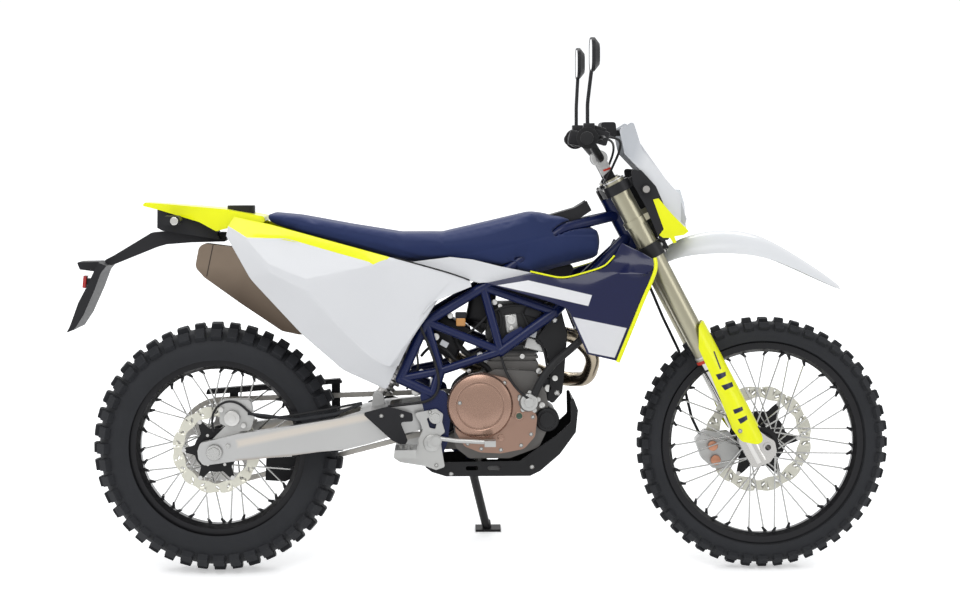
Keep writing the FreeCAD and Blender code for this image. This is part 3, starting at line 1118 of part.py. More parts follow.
def build_rear_end():
    """Plate carrier under the tail, its lamp and the indicators."""
    arm = side_slab([(28, 939), (28, 914), (-67, 912), (-135, 907), (-163, 899), (-286, 850), (-312, 861), (-280, 877),
                     (-176, 939), (-140, 942)], -28, 28, 6)
    tray = side_slab([(-156, 1002.6), (-157, 953), (-143, 945), (14, 920), (1, 946.3), (-40, 968.6), (-148, 1000.6)],
                     -52, 52)
    board = side_slab([(-305, 834), (-324, 785), (-355, 717), (-380, 679), (-401, 671), (-391, 690), (-368, 752),
                       (-340, 804), (-326, 834), (-312, 861), (-290, 852)], -95, 95)
    add("plate_carrier", fused([arm, tray, board]))
    hood = side_slab([(-378, 860), (-312.3, 861.1), (-326.3, 834.1), (-370, 840)], -45, 45, 3)
    add("tail_lamp", hood)
    stalk = rod(spot(-107, -52.3, 975), spot(-107, -80, 975), 7)
    lens = side_slab([(-132, 963), (-132, 987), (-90, 987), (-84, 975), (-90, 963)], -140, -78, 6)
    add("rear_indicators", both_sides(stalk.fuse(lens)))


def stand_frame():
    """Pivot frame of the side stand: X down the leg, Z along the pivot bolt."""
    top = Vector(STAND_X, STAND_Y, STAND_Z)
    foot = Vector(STAND_FOOT_X, STAND_FOOT_Y, STAND_FOOT_Y * LEAN_TAN)
    leg = (foot - top).normalize()
    stowed = Vector(-0.99, 0.11, 0.03).normalize()
    pin = leg.cross(stowed).normalize()
    across = pin.cross(leg)
    turn = Rotation(leg, across, pin, "XYZ")
    return Placement(top, turn), (foot - top).Length, math.degrees(leg.getAngle(stowed)), pin


def build_stand():
    frame, length, travel, pin = stand_frame()

    def place(shape):
        copy = shape.copy()
        copy.Placement = frame.multiply(copy.Placement)
        return copy

    tab = 5.0
    eye = 16.0
    ears = []
    for side in (-1, 1):
        low = side * (tab + SEAT_GAP + 3) - 3
        ears.append(Part.makeCylinder(eye, 6, Vector(0, 0, low), Vector(0, 0, 1)))
        ears.append(Part.makeBox(46, 2 * eye, 6, Vector(0, -eye, low)))
    root = Part.makeBox(26, 2 * eye, 2 * (tab + SEAT_GAP + 6), Vector(eye + SEAT_GAP + 4, -eye, -(tab + SEAT_GAP + 6)))
    leg = rod(Vector(36, 0, 0), Vector(length - 24, 0, 0), STAND_TUBE_RADIUS)
    bore = Part.makeCylinder(STAND_PIN_RADIUS + RUNNING_GAP, 60, Vector(0, 0, -30), Vector(0, 0, 1))
    stand = place(fused(ears + [root, leg]).cut(bore))
    foot = Part.makeBox(74, 46, 7, Vector(STAND_FOOT_X - 34, STAND_FOOT_Y / LEAN_COS - 22, 0))
    heel = Vector(STAND_FOOT_X, STAND_FOOT_Y / LEAN_COS, 6.5)
    foot = foot.fuse(rod(heel, heel + Vector(-3, -3, 20), 13))
    foot.rotate(Vector(0, 0, 0), Vector(1, 0, 0), LEAN)
    add("side_stand", stand.fuse(foot))
    pin_shape = Part.makeCylinder(STAND_PIN_RADIUS, 2 * (tab + 14), Vector(0, 0, -tab - 14), Vector(0, 0, 1))
    plate = Part.makeCylinder(eye - 3, 2 * tab, Vector(0, 0, -tab), Vector(0, 0, 1))
    neck = Part.makeBox(64, 22, 2 * tab, Vector(0, -11, -tab))
    neck.rotate(Vector(0, 0, 0), Vector(0, 0, 1), 180 + travel / 2)
    body = place(fused([plate, neck, pin_shape]))
    anchor = side_slab([(600, 430), (636, 424), (724, 334), (712, 292), (676, 288), (640, 322), (606, 360)], PLATE_Y,
                       PLATE_Y + PLATE_THICKNESS, 8)
    return body, anchor


def main():
    build_wheels()
    build_fork()
    build_fork_guards()
    build_front_fender()
    build_mask()
    build_bars()
    build_front_brake()
    build_frame()
    build_swingarm()
    build_shock()
    build_chain()
    build_engine()
    build_exhaust()
    build_body()
    build_shrouds()
    build_lower_side()
    build_rear_end()
    bracket, anchor = build_stand()
    PIECES["trellis_frame"] = PIECES["trellis_frame"].multiFuse([bracket, anchor])
    lean = Placement(Vector(0, 0, 0), Rotation(Vector(1, 0, 0), -LEAN))
    box = FreeCAD.BoundBox()
    for name, shape in PIECES.items():
        shape.Placement = lean.multiply(shape.Placement)
        box.add(shape.BoundBox)
    global SHIFT
    SHIFT = Vector(-box.Center.x, -box.Center.y, -box.ZMin)
    shift = Placement(SHIFT, Rotation())
    os.makedirs("parts", exist_ok=True)
    for name, shape in PIECES.items():
        shape.Placement = shift.multiply(shape.Placement)
        shape.exportStep(f"parts/{name}.step")
    print("box", box)


main()
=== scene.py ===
import json
import math

import bmesh
import bpy
from mathutils import Matrix, Vector


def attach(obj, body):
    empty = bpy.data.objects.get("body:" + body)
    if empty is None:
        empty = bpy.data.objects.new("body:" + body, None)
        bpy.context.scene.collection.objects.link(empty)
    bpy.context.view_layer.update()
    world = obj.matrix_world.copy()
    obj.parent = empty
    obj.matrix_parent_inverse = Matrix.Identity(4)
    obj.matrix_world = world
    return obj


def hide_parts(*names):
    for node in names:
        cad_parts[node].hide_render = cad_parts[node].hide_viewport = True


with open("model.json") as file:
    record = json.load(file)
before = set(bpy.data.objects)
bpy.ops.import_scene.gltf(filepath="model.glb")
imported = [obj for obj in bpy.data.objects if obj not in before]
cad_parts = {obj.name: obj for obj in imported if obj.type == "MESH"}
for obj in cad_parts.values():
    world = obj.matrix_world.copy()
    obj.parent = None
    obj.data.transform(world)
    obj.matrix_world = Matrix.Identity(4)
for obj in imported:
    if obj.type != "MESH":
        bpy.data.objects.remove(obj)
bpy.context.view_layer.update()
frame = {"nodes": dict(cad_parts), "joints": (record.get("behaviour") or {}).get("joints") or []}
nodes = frame["nodes"]


# The machine leans ten degrees on its side stand. Its pieces are drawn upright, in metres from the
# ground under the rear axle, and then leaned. The camera leans with them, so it sees a plain side view.
LEAN = math.radians(10)
rear_axle = Vector(next(j["pos_m"] for j in frame["joints"] if j["name"] == "rear_wheel_spin"))
front_axle = Vector(next(j["pos_m"] for j in frame["joints"] if j["name"] == "front_wheel_spin"))
REAR_Z = rear_axle.z / math.cos(LEAN)
FRONT_Z = front_axle.z / math.cos(LEAN)
WHEELBASE = front_axle.x - rear_axle.x
stand_shift = Vector((rear_axle.x, rear_axle.y - REAR_Z * math.sin(LEAN), 0))
leaned = Matrix.Translation(stand_shift) @ Matrix.Rotation(-LEAN, 4, "X")

YAW, PITCH_DOWN, ROLL = math.radians(0.911), math.radians(3.73), math.radians(-0.23)
CAMERA_PLACE = (0.622, -6.298, 1.159)
FOCAL_LENGTH = 85.84
ahead = Vector((math.sin(YAW) * math.cos(PITCH_DOWN), math.cos(YAW) * math.cos(PITCH_DOWN),
    -math.sin(PITCH_DOWN)))
right = Vector((math.cos(YAW), -math.sin(YAW), 0))
above = right.cross(ahead)
turned_right = right * math.cos(ROLL) + above * math.sin(ROLL)
turned_up = above * math.cos(ROLL) - right * math.sin(ROLL)
seat_of_camera = Matrix((turned_right, turned_up, -ahead)).transposed().to_4x4()
lens = bpy.data.cameras.new("camera")
lens.sensor_width = 36
lens.lens = FOCAL_LENGTH
lens.clip_end = 60


def placed(name, data):
    thing = bpy.data.objects.new(name, data)
    bpy.context.scene.collection.objects.link(thing)
    return thing


camera = placed("camera", lens)
camera.matrix_world = leaned @ Matrix.Translation(CAMERA_PLACE) @ seat_of_camera
bpy.context.scene.camera = camera
bpy.context.scene.view_settings.view_transform = "Standard"


# Plain pale floor and soft studio light: a wide lamp above the camera, a long strip over the far side
# for the upper edges, two small ones at the ends, and a graded world. What the camera sees straight, in
# gloss or through glass is plain white.
FLOOR_GLOW = 0.42


def plain_rays(tree):
    """1 for the rays of the camera, of glass and of gloss."""
    rays = tree.nodes.new("ShaderNodeLightPath")
    found = rays.outputs["Is Camera Ray"]
    for kind in ("Is Transmission Ray", "Is Glossy Ray"):
        either = tree.nodes.new("ShaderNodeMath")
        either.operation = "MAXIMUM"
        tree.links.new(found, either.inputs[0])
        tree.links.new(rays.outputs[kind], either.inputs[1])
        found = either.outputs[0]
    return found


bpy.ops.mesh.primitive_plane_add(size=60, location=(0, 0, -0.0005))
floor = bpy.context.object
floor.name = "studio_floor"
floor_paint = bpy.data.materials.new("studio_floor")
floor_paint.use_nodes = True
shader = floor_paint.node_tree.nodes["Principled BSDF"]
shader.inputs["Base Color"].default_value = (0.93, 0.93, 0.93, 1)
shader.inputs["Roughness"].default_value = 0.9
tree = floor_paint.node_tree
glow = tree.nodes.new("ShaderNodeMath")
glow.operation = "MULTIPLY"
glow.inputs[1].default_value = FLOOR_GLOW
tree.links.new(plain_rays(tree), glow.inputs[0])
shader.inputs["Emission Color"].default_value = (1, 1, 1, 1)
tree.links.new(glow.outputs[0], shader.inputs["Emission Strength"])
floor.data.materials.append(floor_paint)

world = bpy.data.worlds.new("studio")
bpy.context.scene.world = world
world.use_nodes = True
tree = world.node_tree
sky = tree.nodes["Background"]
sky.inputs["Strength"].default_value = 1.0
where = tree.nodes.new("ShaderNodeTexCoord")
axes = tree.nodes.new("ShaderNodeSeparateXYZ")
shades = tree.nodes.new("ShaderNodeValToRGB")
shades.color_ramp.elements[0].position = 0.30
shades.color_ramp.elements[0].color = (0.42, 0.42, 0.42, 1)
shades.color_ramp.elements[1].position = 0.92
shades.color_ramp.elements[1].color = (0.82, 0.84, 0.86, 1)
low = shades.color_ramp.elements.new(0.52)
low.color = (0.20, 0.20, 0.21, 1)
halves = tree.nodes.new("ShaderNodeMapRange")
halves.inputs["From Min"].default_value = -1.0
tree.links.new(where.outputs["Generated"], axes.inputs[0])
tree.links.new(axes.outputs["Z"], halves.inputs["Value"])
tree.links.new(halves.outputs["Result"], shades.inputs["Fac"])
tree.links.new(shades.outputs["Color"], sky.inputs["Color"])
white = tree.nodes.new("ShaderNodeBackground")
white.inputs["Color"].default_value = (1, 1, 1, 1)
white.inputs["Strength"].default_value = 1.0
choice = tree.nodes.new("ShaderNodeMixShader")
tree.links.new(plain_rays(tree), choice.inputs[0])
tree.links.new(sky.outputs[0], choice.inputs[1])
tree.links.new(white.outputs[0], choice.inputs[2])
tree.links.new(choice.outputs[0], tree.nodes["World Output"].inputs[0])

for name, place, target, size, power in (
    ("key_light", (-1.0, -3.4, 5.0), (0.0, 0.0, 0.7), (3.6, 2.4), 98),
    ("front_light", (3.6, -2.6, 2.6), (0.2, 0.0, 0.7), (2.0, 2.0), 22),
    ("rim_light", (0.0, 3.2, 3.6), (0.0, 0.0, 0.8), (4.6, 1.0), 70),
    ("rear_light", (-3.8, -1.8, 2.2), (-0.2, 0.0, 0.7), (1.6, 1.6), 16),
):
    lamp = bpy.data.lights.new(name, "AREA")
    lamp.shape = "RECTANGLE"
    lamp.size, lamp.size_y = size
    lamp.energy = power
    holder = placed(name, lamp)
    holder.location = place
    holder.rotation_euler = (Vector(target) - Vector(place)).to_track_quat("-Z", "Y").to_euler()


# Moulded body plastics: white, yellow and black shells, injection moulded, with a faint orange
# peel in the gloss and a little drift of tone, as thick polypropylene has.
class Finish:
    """A material on Object coordinates, turned back to the upright machine, whose colour is laid in steps."""

    def __init__(self, name, colour, rough, metal=0.0, coat=0.0, drift=0.06, grain=60.0, depth=0.0001,
            streak=(1, 1, 1), wear=0.10):
        self.material = bpy.data.materials.new(name)
        self.material.use_nodes = True
        self.tree = self.material.node_tree
        self.shader = self.tree.nodes["Principled BSDF"]
        self.shader.inputs["Metallic"].default_value = metal
        self.shader.inputs["Coat Weight"].default_value = coat
        self.shader.inputs["Coat Roughness"].default_value = 0.06
        self.shader.inputs["Specular IOR Level"].default_value = 0.5 if metal > 0.6 else 0.22
        spot = self.add("ShaderNodeTexCoord")
        self.place = self.add("ShaderNodeMapping")
        self.place.vector_type = "TEXTURE"
        self.place.inputs["Location"].default_value = stand_shift
        self.place.inputs["Rotation"].default_value = (-LEAN, 0, 0)
        self.join(spot.outputs["Object"], self.place.inputs["Vector"])
        self.upright = self.place.outputs["Vector"]
        tone = self.span(self.noise(9.0, (1, 1, 1), 3.0), to_min=1.0 - drift, to_max=1.0 + drift)
        shade = self.add("ShaderNodeVectorMath", "SCALE")
        shade.inputs[0].default_value = colour
        self.join(tone, shade.inputs["Scale"])
        self.colour = shade.outputs["Vector"]
        fine = self.noise(grain, streak, 6.0)
        gloss = self.span(fine, to_min=max(0.02, rough - wear / 2), to_max=rough + wear / 2)
        self.join(gloss, self.shader.inputs["Roughness"])
        self.bump = self.add("ShaderNodeBump")
        self.bump.inputs["Strength"].default_value = 0.6
        self.bump.inputs["Distance"].default_value = depth
        self.join(fine, self.bump.inputs["Height"])
        self.join(self.bump.outputs["Normal"], self.shader.inputs["Normal"])
        self.join(self.colour, self.shader.inputs["Base Color"])

    def add(self, kind, operation=None):
        made = self.tree.nodes.new(kind)
        if operation:
            made.operation = operation
        return made

    def span(self, value, **ends):
        """Map a value from one span to another; the ends are named as on the node."""
        made = self.add("ShaderNodeMapRange")
        for end, number in ends.items():
            made.inputs[end.replace("_", " ").title()].default_value = number
        self.join(value, made.inputs["Value"])
        return made.outputs["Result"]

    def join(self, start, end):
        self.tree.links.new(start, end)

    def noise(self, scale, streak, detail):
        stretch = self.add("ShaderNodeVectorMath", "MULTIPLY")
        stretch.inputs[1].default_value = streak
        self.join(self.upright, stretch.inputs[0])
        cloud = self.add("ShaderNodeTexNoise")
        cloud.inputs["Scale"].default_value = scale
        cloud.inputs["Detail"].default_value = detail
        self.join(stretch.outputs["Vector"], cloud.inputs["Vector"])
        return cloud.outputs["Fac"]

    def inside(self, corners, soft=0.0006):
        """1 within a convex outline of (x, z) corners in metres, seen from the side, clockwise or not."""
        middle = sum((Vector(c) for c in corners), Vector((0, 0))) / len(corners)
        least = None
        for a, b in zip(corners, corners[1:] + corners[:1]):
            a, b = Vector(a), Vector(b)
            way = Vector((-(b - a).y, (b - a).x)).normalized()
            if (middle - a).dot(way) < 0:
                way = -way
            reach = self.add("ShaderNodeVectorMath", "DOT_PRODUCT")
            reach.inputs[1].default_value = (way.x, 0, way.y)
            self.join(self.upright, reach.inputs[0])
            away = self.add("ShaderNodeMath", "SUBTRACT")
            away.inputs[1].default_value = a.dot(way)
            self.join(reach.outputs["Value"], away.inputs[0])
            if least is None:
                least = away.outputs[0]
            else:
                lower = self.add("ShaderNodeMath", "MINIMUM")
                self.join(least, lower.inputs[0])
                self.join(away.outputs[0], lower.inputs[1])
                least = lower.outputs[0]
        return self.span(least, from_min=-soft, from_max=soft)

    def lay(self, mask, colour):
        """Lay a colour over what is there, where the mask is 1."""
        over = self.add("ShaderNodeMix")
        over.data_type = "RGBA"
        self.join(mask, over.inputs["Factor"])
        self.join(self.colour, over.inputs["A"])
        over.inputs["B"].default_value = (*colour, 1)
        self.colour = over.outputs["Result"]
        self.join(self.colour, self.shader.inputs["Base Color"])


def wear(finish, *names):
    """Give CAD nodes a finish."""
    for name in names:
        data = nodes[name].data
        data.materials.clear()
        data.materials.append(finish.material)


WHITE = (0.76, 0.77, 0.785)
YELLOW = (0.90, 0.93, 0.005)
GLOSSY = {"coat": 0.35, "drift": 0.02, "grain": 900, "depth": 0.00003}
white_plastic = Finish("white_plastic", WHITE, 0.30, **GLOSSY)
yellow_plastic = Finish("yellow_plastic", YELLOW, 0.30, **GLOSSY)
black_plastic = Finish("black_plastic", (0.016, 0.016, 0.018), 0.48, drift=0.15, grain=1800, depth=0.0001)
wear(white_plastic, "headlamp_mask", "front_fender")
wear(yellow_plastic, "tail_fairing")
guard_yellow = Finish("guard_yellow", YELLOW, 0.30, **GLOSSY)
GUARD_NAVY = (0.006, 0.010, 0.050)
for block in ([(1.351, 0.614), (1.355, 0.615), (1.3725, 0.568), (1.369, 0.565)],
        [(1.357, 0.552), (1.385, 0.559), (1.386, 0.548), (1.365, 0.537)],
        [(1.372, 0.522), (1.403, 0.531), (1.407, 0.519), (1.382, 0.509)],
        [(1.404, 0.456), (1.430, 0.464), (1.433, 0.454), (1.409, 0.444)],
        [(1.417, 0.430), (1.442, 0.440), (1.445, 0.429), (1.425, 0.417)]):
    guard_yellow.lay(guard_yellow.inside(block), GUARD_NAVY)
wear(guard_yellow, "fork_guards")
wear(black_plastic, "plate_carrier", "rear_tank", "air_box", "chain_guards", "heel_guards", "mask_panels",
    "mirrors", "instrument", "rear_indicators", "filler_cap")


# Metals: painted trellis, cast and machined aluminium, bronze covers, anodised fork, bare steel and the
# heat-browned exhaust.
frame_paint = Finish("frame_paint", (0.005, 0.011, 0.062), 0.28, coat=0.12, drift=0.08, grain=700,
    depth=0.00005)
cast = Finish("cast_aluminium", (0.44, 0.44, 0.43), 0.42, metal=0.85, drift=0.12, grain=1400, depth=0.00012)
bright = Finish("machined_aluminium", (0.58, 0.575, 0.56), 0.30, metal=0.9, drift=0.06, grain=500,
    depth=0.00001)
dark = Finish("dark_metal", (0.014, 0.014, 0.015), 0.42, metal=0.1, drift=0.2, grain=900, depth=0.00008)
bronze = Finish("bronze_cover", (0.30, 0.19, 0.145), 0.34, metal=0.75, drift=0.08, grain=900, depth=0.00001)
exhaust = Finish("exhaust_metal", (0.205, 0.160, 0.122), 0.36, metal=0.9, drift=0.18, grain=260,
    depth=0.00003)
anodised = Finish("fork_anodised", (0.36, 0.34, 0.25), 0.30, metal=0.85, drift=0.05, grain=420, depth=0.00004)
chrome = Finish("fork_chrome", (0.56, 0.55, 0.53), 0.12, metal=1.0, drift=0.03, grain=420, depth=0.000005)
steel = Finish("bare_steel", (0.50, 0.49, 0.48), 0.30, metal=1.0, drift=0.06, grain=420, depth=0.000008)
disc_steel = Finish("disc_steel", (0.62, 0.61, 0.53), 0.34, metal=0.7, drift=0.08, grain=700, depth=0.00005)
wear(frame_paint, "trellis_frame")
engine_cast = Finish("engine_cast", (0.115, 0.110, 0.105), 0.42, metal=0.7, drift=0.2, grain=1400,
    depth=0.00014)
engine_cast.lay(engine_cast.inside([(0.680, 0.606), (0.680, 0.800), (0.960, 0.800), (0.960, 0.606)], 0.004),
    (0.026, 0.026, 0.027))
wear(engine_cast, "crankcase", "cylinder")
wear(cast, "footrests", "foot_levers", "rear_caliper", "front_caliper")
wear(chrome, "fork_inner_tubes")
arm_cast = Finish("arm_cast", (0.47, 0.47, 0.465), 0.34, metal=0.85, drift=0.06, grain=1200, depth=0.00005)
# Painted highlight: a warm pale band along the arm's upper facet, where the light from above falls.
arm_cast.lay(arm_cast.inside([(0.060, 0.380), (0.232, 0.416), (0.480, 0.462), (0.480, 0.447), (0.410, 0.431),
    (0.064, 0.362)], 0.005), (0.60, 0.555, 0.50))
# Painted shade: a darker brown band along the arm's lower facet, which faces down away from the light.
arm_cast.lay(arm_cast.inside([(0.060, 0.328), (0.285, 0.347), (0.394, 0.377), (0.394, 0.350), (0.285, 0.322),
    (0.060, 0.300)], 0.004), (0.36, 0.32, 0.28))
wear(arm_cast, "swingarm")
wear(bronze, "engine_covers")
wear(dark, "engine_brackets", "skid_plate", "side_stand", "handlebar", "hand_levers", "radiators")
header = Finish("header_metal", (0.34, 0.29, 0.22), 0.24, metal=1.0, drift=0.35, grain=200, depth=0.00002)
wear(header, "exhaust_pipe")
# Painted shade: the silencer turns darker towards its lower side in a soft gradient.
exhaust.lay(exhaust.inside([(-0.060, 0.800), (0.080, 0.800), (0.330, 0.660), (0.330, 0.600), (-0.060, 0.600)],
    0.05), (0.075, 0.056, 0.042))
exhaust.lay(exhaust.inside([(0.0005, 0.916), (0.0035, 0.916), (-0.0165, 0.823), (-0.0195, 0.823)]),
    (0.05, 0.04, 0.035))
wear(exhaust, "silencer")
wear(anodised, "fork_outer_tubes", "mask_bands")
clamp_black = Finish("clamp_black", (0.022, 0.022, 0.024), 0.36, metal=0.4, drift=0.15, grain=900,
    depth=0.00006)
clamp_black.lay(clamp_black.inside([(1.012, 1.128), (1.053, 1.172), (1.088, 1.114), (1.052, 1.082)]),
    (0.55, 0.55, 0.54))
clamp_black.lay(clamp_black.inside([(1.0605, 1.1010), (1.0580, 1.1060), (1.0830, 1.1150), (1.0860, 1.1095)]),
    (0.62, 0.04, 0.02))
wear(clamp_black, "triple_clamps")
wear(steel, "front_axle", "rear_axle", "swingarm_pivot", "shock_absorber", "rear_sprocket")


# Knobby tyres: a butyl carcass with a plain sidewall, and rows of square blocks, one broad pair over the
# crown and one block on each shoulder, moulded with sloping flanks and sharp edges.
def settle(bm, name, body, finish, smooth=35):
    """Lean a piece that was drawn upright, make it an object and let it ride on its body."""
    bmesh.ops.recalc_face_normals(bm, faces=bm.faces)
    bm.transform(leaned)
    mesh = bpy.data.meshes.new(name)
    bm.to_mesh(mesh)
    bm.free()
    mesh.materials.append(finish.material)
    mesh.shade_smooth()
    mesh.set_sharp_from_angle(angle=math.radians(smooth))
    piece = placed(name, mesh)
    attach(piece, body)
    return piece


def move(bm, verts, way):
    bmesh.ops.translate(bm, vec=way, verts=verts)


def swing(bm, verts, angle, axis):
    bmesh.ops.rotate(bm, verts=verts, matrix=Matrix.Rotation(angle, 3, axis))


def drum(bm, segments, radius, depth, tip=None):
    """A closed round bar along z about the origin, tapered where a tip radius is given."""
    return bmesh.ops.create_cone(bm, cap_ends=True, segments=segments, radius1=radius,
        radius2=radius if tip is None else tip, depth=depth)["verts"]


ACROSS = (0, 1, 0)
UP = (0, 0, 1)


def lathe(bm, line, axis, steps, closed=False):
    """Turn a profile of points once round an axis through the origin."""
    ring = [bm.verts.new(point) for point in line]
    edges = [bm.edges.new(pair) for pair in zip(ring, ring[1:] + (ring[:1] if closed else []))]
    bmesh.ops.spin(bm, geom=ring + edges, cent=(0, 0, 0), axis=axis, angle=2 * math.pi,
        steps=steps, use_merge=True)


def break_edges(bm, edges, offset, segments):
    return bmesh.ops.bevel(bm, geom=edges, offset=offset, segments=segments, profile=0.5, material=-1,
        affect="EDGES")["faces"]


def tread_block(bm, angle, wide, long, crown, height, middle, turn):
    """One block: a tapered box on the crown circle, with its edges broken."""
    made = bmesh.ops.create_cube(bm, size=1.0)["verts"]
    bmesh.ops.scale(bm, vec=(long, wide, height + 0.004), verts=made)
    move(bm, made, (0, 0, crown - (height + 0.004) / 2))
    top = [v for v in made if v.co.z > crown - 0.001]
    bmesh.ops.scale(bm, vec=(0.88, 0.90, 1), verts=top)
    edges = list({e for v in top for e in v.link_edges})
    faces = break_edges(bm, edges, 0.0012, 1)
    made = list({v for f in faces for v in f.verts} | {v for v in made if v.is_valid})
    swing(bm, made, -angle, "X")
    move(bm, made, (0, 0, middle))
    swing(bm, made, turn, "Y")


def knobby_tyre(name, body, axle, radius, crown, height, rim_radius, bead, rows, blocks):
    bm = bmesh.new()
    middle = radius - crown
    belly = crown - height
    line = [(bead - 0.004, rim_radius - 0.010), (bead, rim_radius + 0.002),
        (bead + 0.002, rim_radius + 0.008)]
    for degrees in (112, 96, 80, 64, 48, 32, 16, 0):
        a = math.radians(degrees)
        line.append((belly * math.sin(a), middle + belly * math.cos(a)))
    line += [(-y, r) for y, r in line[-2::-1]]
    line.append((-bead + 0.010, rim_radius + 0.012))
    line.append((bead - 0.010, rim_radius + 0.012))
    lathe(bm, [(0, y, r) for y, r in line], ACROSS, 96, closed=True)
    for row in range(rows):
        turn = 2 * math.pi * row / rows
        for angle, wide, long, offset in blocks[row % len(blocks)]:
            tread_block(bm, math.radians(angle), wide, long, crown, height, middle, turn + offset)
    move(bm, bm.verts, axle)
    piece = settle(bm, name, body, rubber, 30)
    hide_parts(name.replace("knobby", "tyre"))


rubber = Finish("tyre_rubber", (0.020, 0.021, 0.024), 0.62, drift=0.25, grain=420, depth=0.00025, wear=0.2)
FRONT_AXLE = Vector((WHEELBASE, 0, FRONT_Z))
REAR_AXLE = Vector((0, 0, REAR_Z))
knobby_tyre("front_knobby", "front_wheel", FRONT_AXLE, radius=0.348, crown=0.050, height=0.012,
    rim_radius=0.278, bead=0.0205, rows=48, blocks=[[(18, 0.012, 0.027, 0), (-18, 0.012, 0.027, 0),
    (52, 0.020, 0.030, 0), (-52, 0.020, 0.030, 0)], [(0, 0.022, 0.027, 0), (52, 0.022, 0.027, 0),
    (-52, 0.022, 0.027, 0)]])
knobby_tyre("rear_knobby", "rear_wheel", REAR_AXLE, radius=0.344, crown=0.078, height=0.015, rim_radius=0.243,
    bead=0.0325, rows=44, blocks=[[(11, 0.024, 0.033, 0), (-11, 0.024, 0.033, 0), (48, 0.030, 0.034, 0),
    (-48, 0.030, 0.034, 0)], [(9, 0.020, 0.030, 0), (-9, 0.020, 0.030, 0), (46, 0.036, 0.031, 0),
    (-46, 0.036, 0.031, 0)]])


# Rims, spokes and hubs: black anodised rims with a black nipple at the end of each spoke, thin bright
# crossed spokes of stainless steel, black cast hubs.
SPOKES = 36
rim_black = Finish("rim_anodised", (0.014, 0.014, 0.016), 0.34, metal=0.5, coat=0.2, drift=0.1, grain=900,
    depth=0.00005)
spoke_steel = Finish("spoke_steel", (0.44, 0.44, 0.43), 0.24, metal=1.0, drift=0.05, grain=400, depth=0.00002)
hub_black = Finish("hub_black", (0.02, 0.02, 0.021), 0.38, metal=0.5, drift=0.15, grain=1200, depth=0.0001)
wear(rim_black, "front_rim", "rear_rim")
wear(spoke_steel, "front_spokes", "rear_spokes")
wear(hub_black, "front_hub", "rear_hub")


def nipples(name, body, axle, rim_inside):
    """A tapered nipple at the rim's end of each spoke, leaning as its spoke does."""
    bm = bmesh.new()
    for i in range(SPOKES):
        side = 1 if i % 2 else -1
        lean_way = 1 if (i // 2) % 2 else -1
        b = 2 * math.pi * i / SPOKES + lean_way * math.radians(42)
        made = drum(bm, 10, 0.0055, 0.017, 0.0030)
        swing(bm, made, -lean_way * 0.62, "Y")
        move(bm, made, (0, side * 0.007 + lean_way * 0.003, -(rim_inside - 0.005)))
        swing(bm, made, -b - math.pi / 2, "Y")
    move(bm, bm.verts, axle)
    piece = settle(bm, name, body, rim_black)


nipples("front_nipples", "front_wheel", FRONT_AXLE, 0.252)
nipples("rear_nipples", "rear_wheel", REAR_AXLE, 0.215)


# Brake discs: a waved steel ring with slanted slots, floating on a black carrier, held by round buttons.
def settle_in(piece):
    """Make what the modifiers give the piece's own mesh."""
    view = bpy.context.evaluated_depsgraph_get()
    result = bpy.data.meshes.new_from_object(piece.evaluated_get(view))
    piece.modifiers.clear()
    old = piece.data
    piece.data = result
    bpy.data.meshes.remove(old)


def cut_away(target, cutter):
    """Cut one piece out of another and keep the result as the piece's own mesh."""
    saw = target.modifiers.new("saw", "BOOLEAN")
    saw.operation = "DIFFERENCE"
    saw.solver = "EXACT"
    saw.object = cutter
    settle_in(target)
    bpy.data.objects.remove(cutter)


DISC_THICK = 0.0042
CARRIER_THICK = 0.0046
WAVES = 12
ARMS = 6
CARRIER_BORE = 0.036


def across(bm, centre):
    """Turn what was drawn flat to stand across the wheel's axle, at its centre."""
    swing(bm, bm.verts, math.pi / 2, "X")
    move(bm, bm.verts, centre)


def flat_ring(bm, thick):
    """Fill between two drawn loops and raise them to a plate about its own middle."""
    faces = bmesh.ops.bridge_loops(bm, edges=bm.edges[:])["faces"]
    raised = bmesh.ops.extrude_face_region(bm, geom=faces)["geom"]
    move(bm, [g for g in raised if isinstance(g, bmesh.types.BMVert)], (0, 0, thick))
    move(bm, bm.verts, (0, 0, -thick / 2))


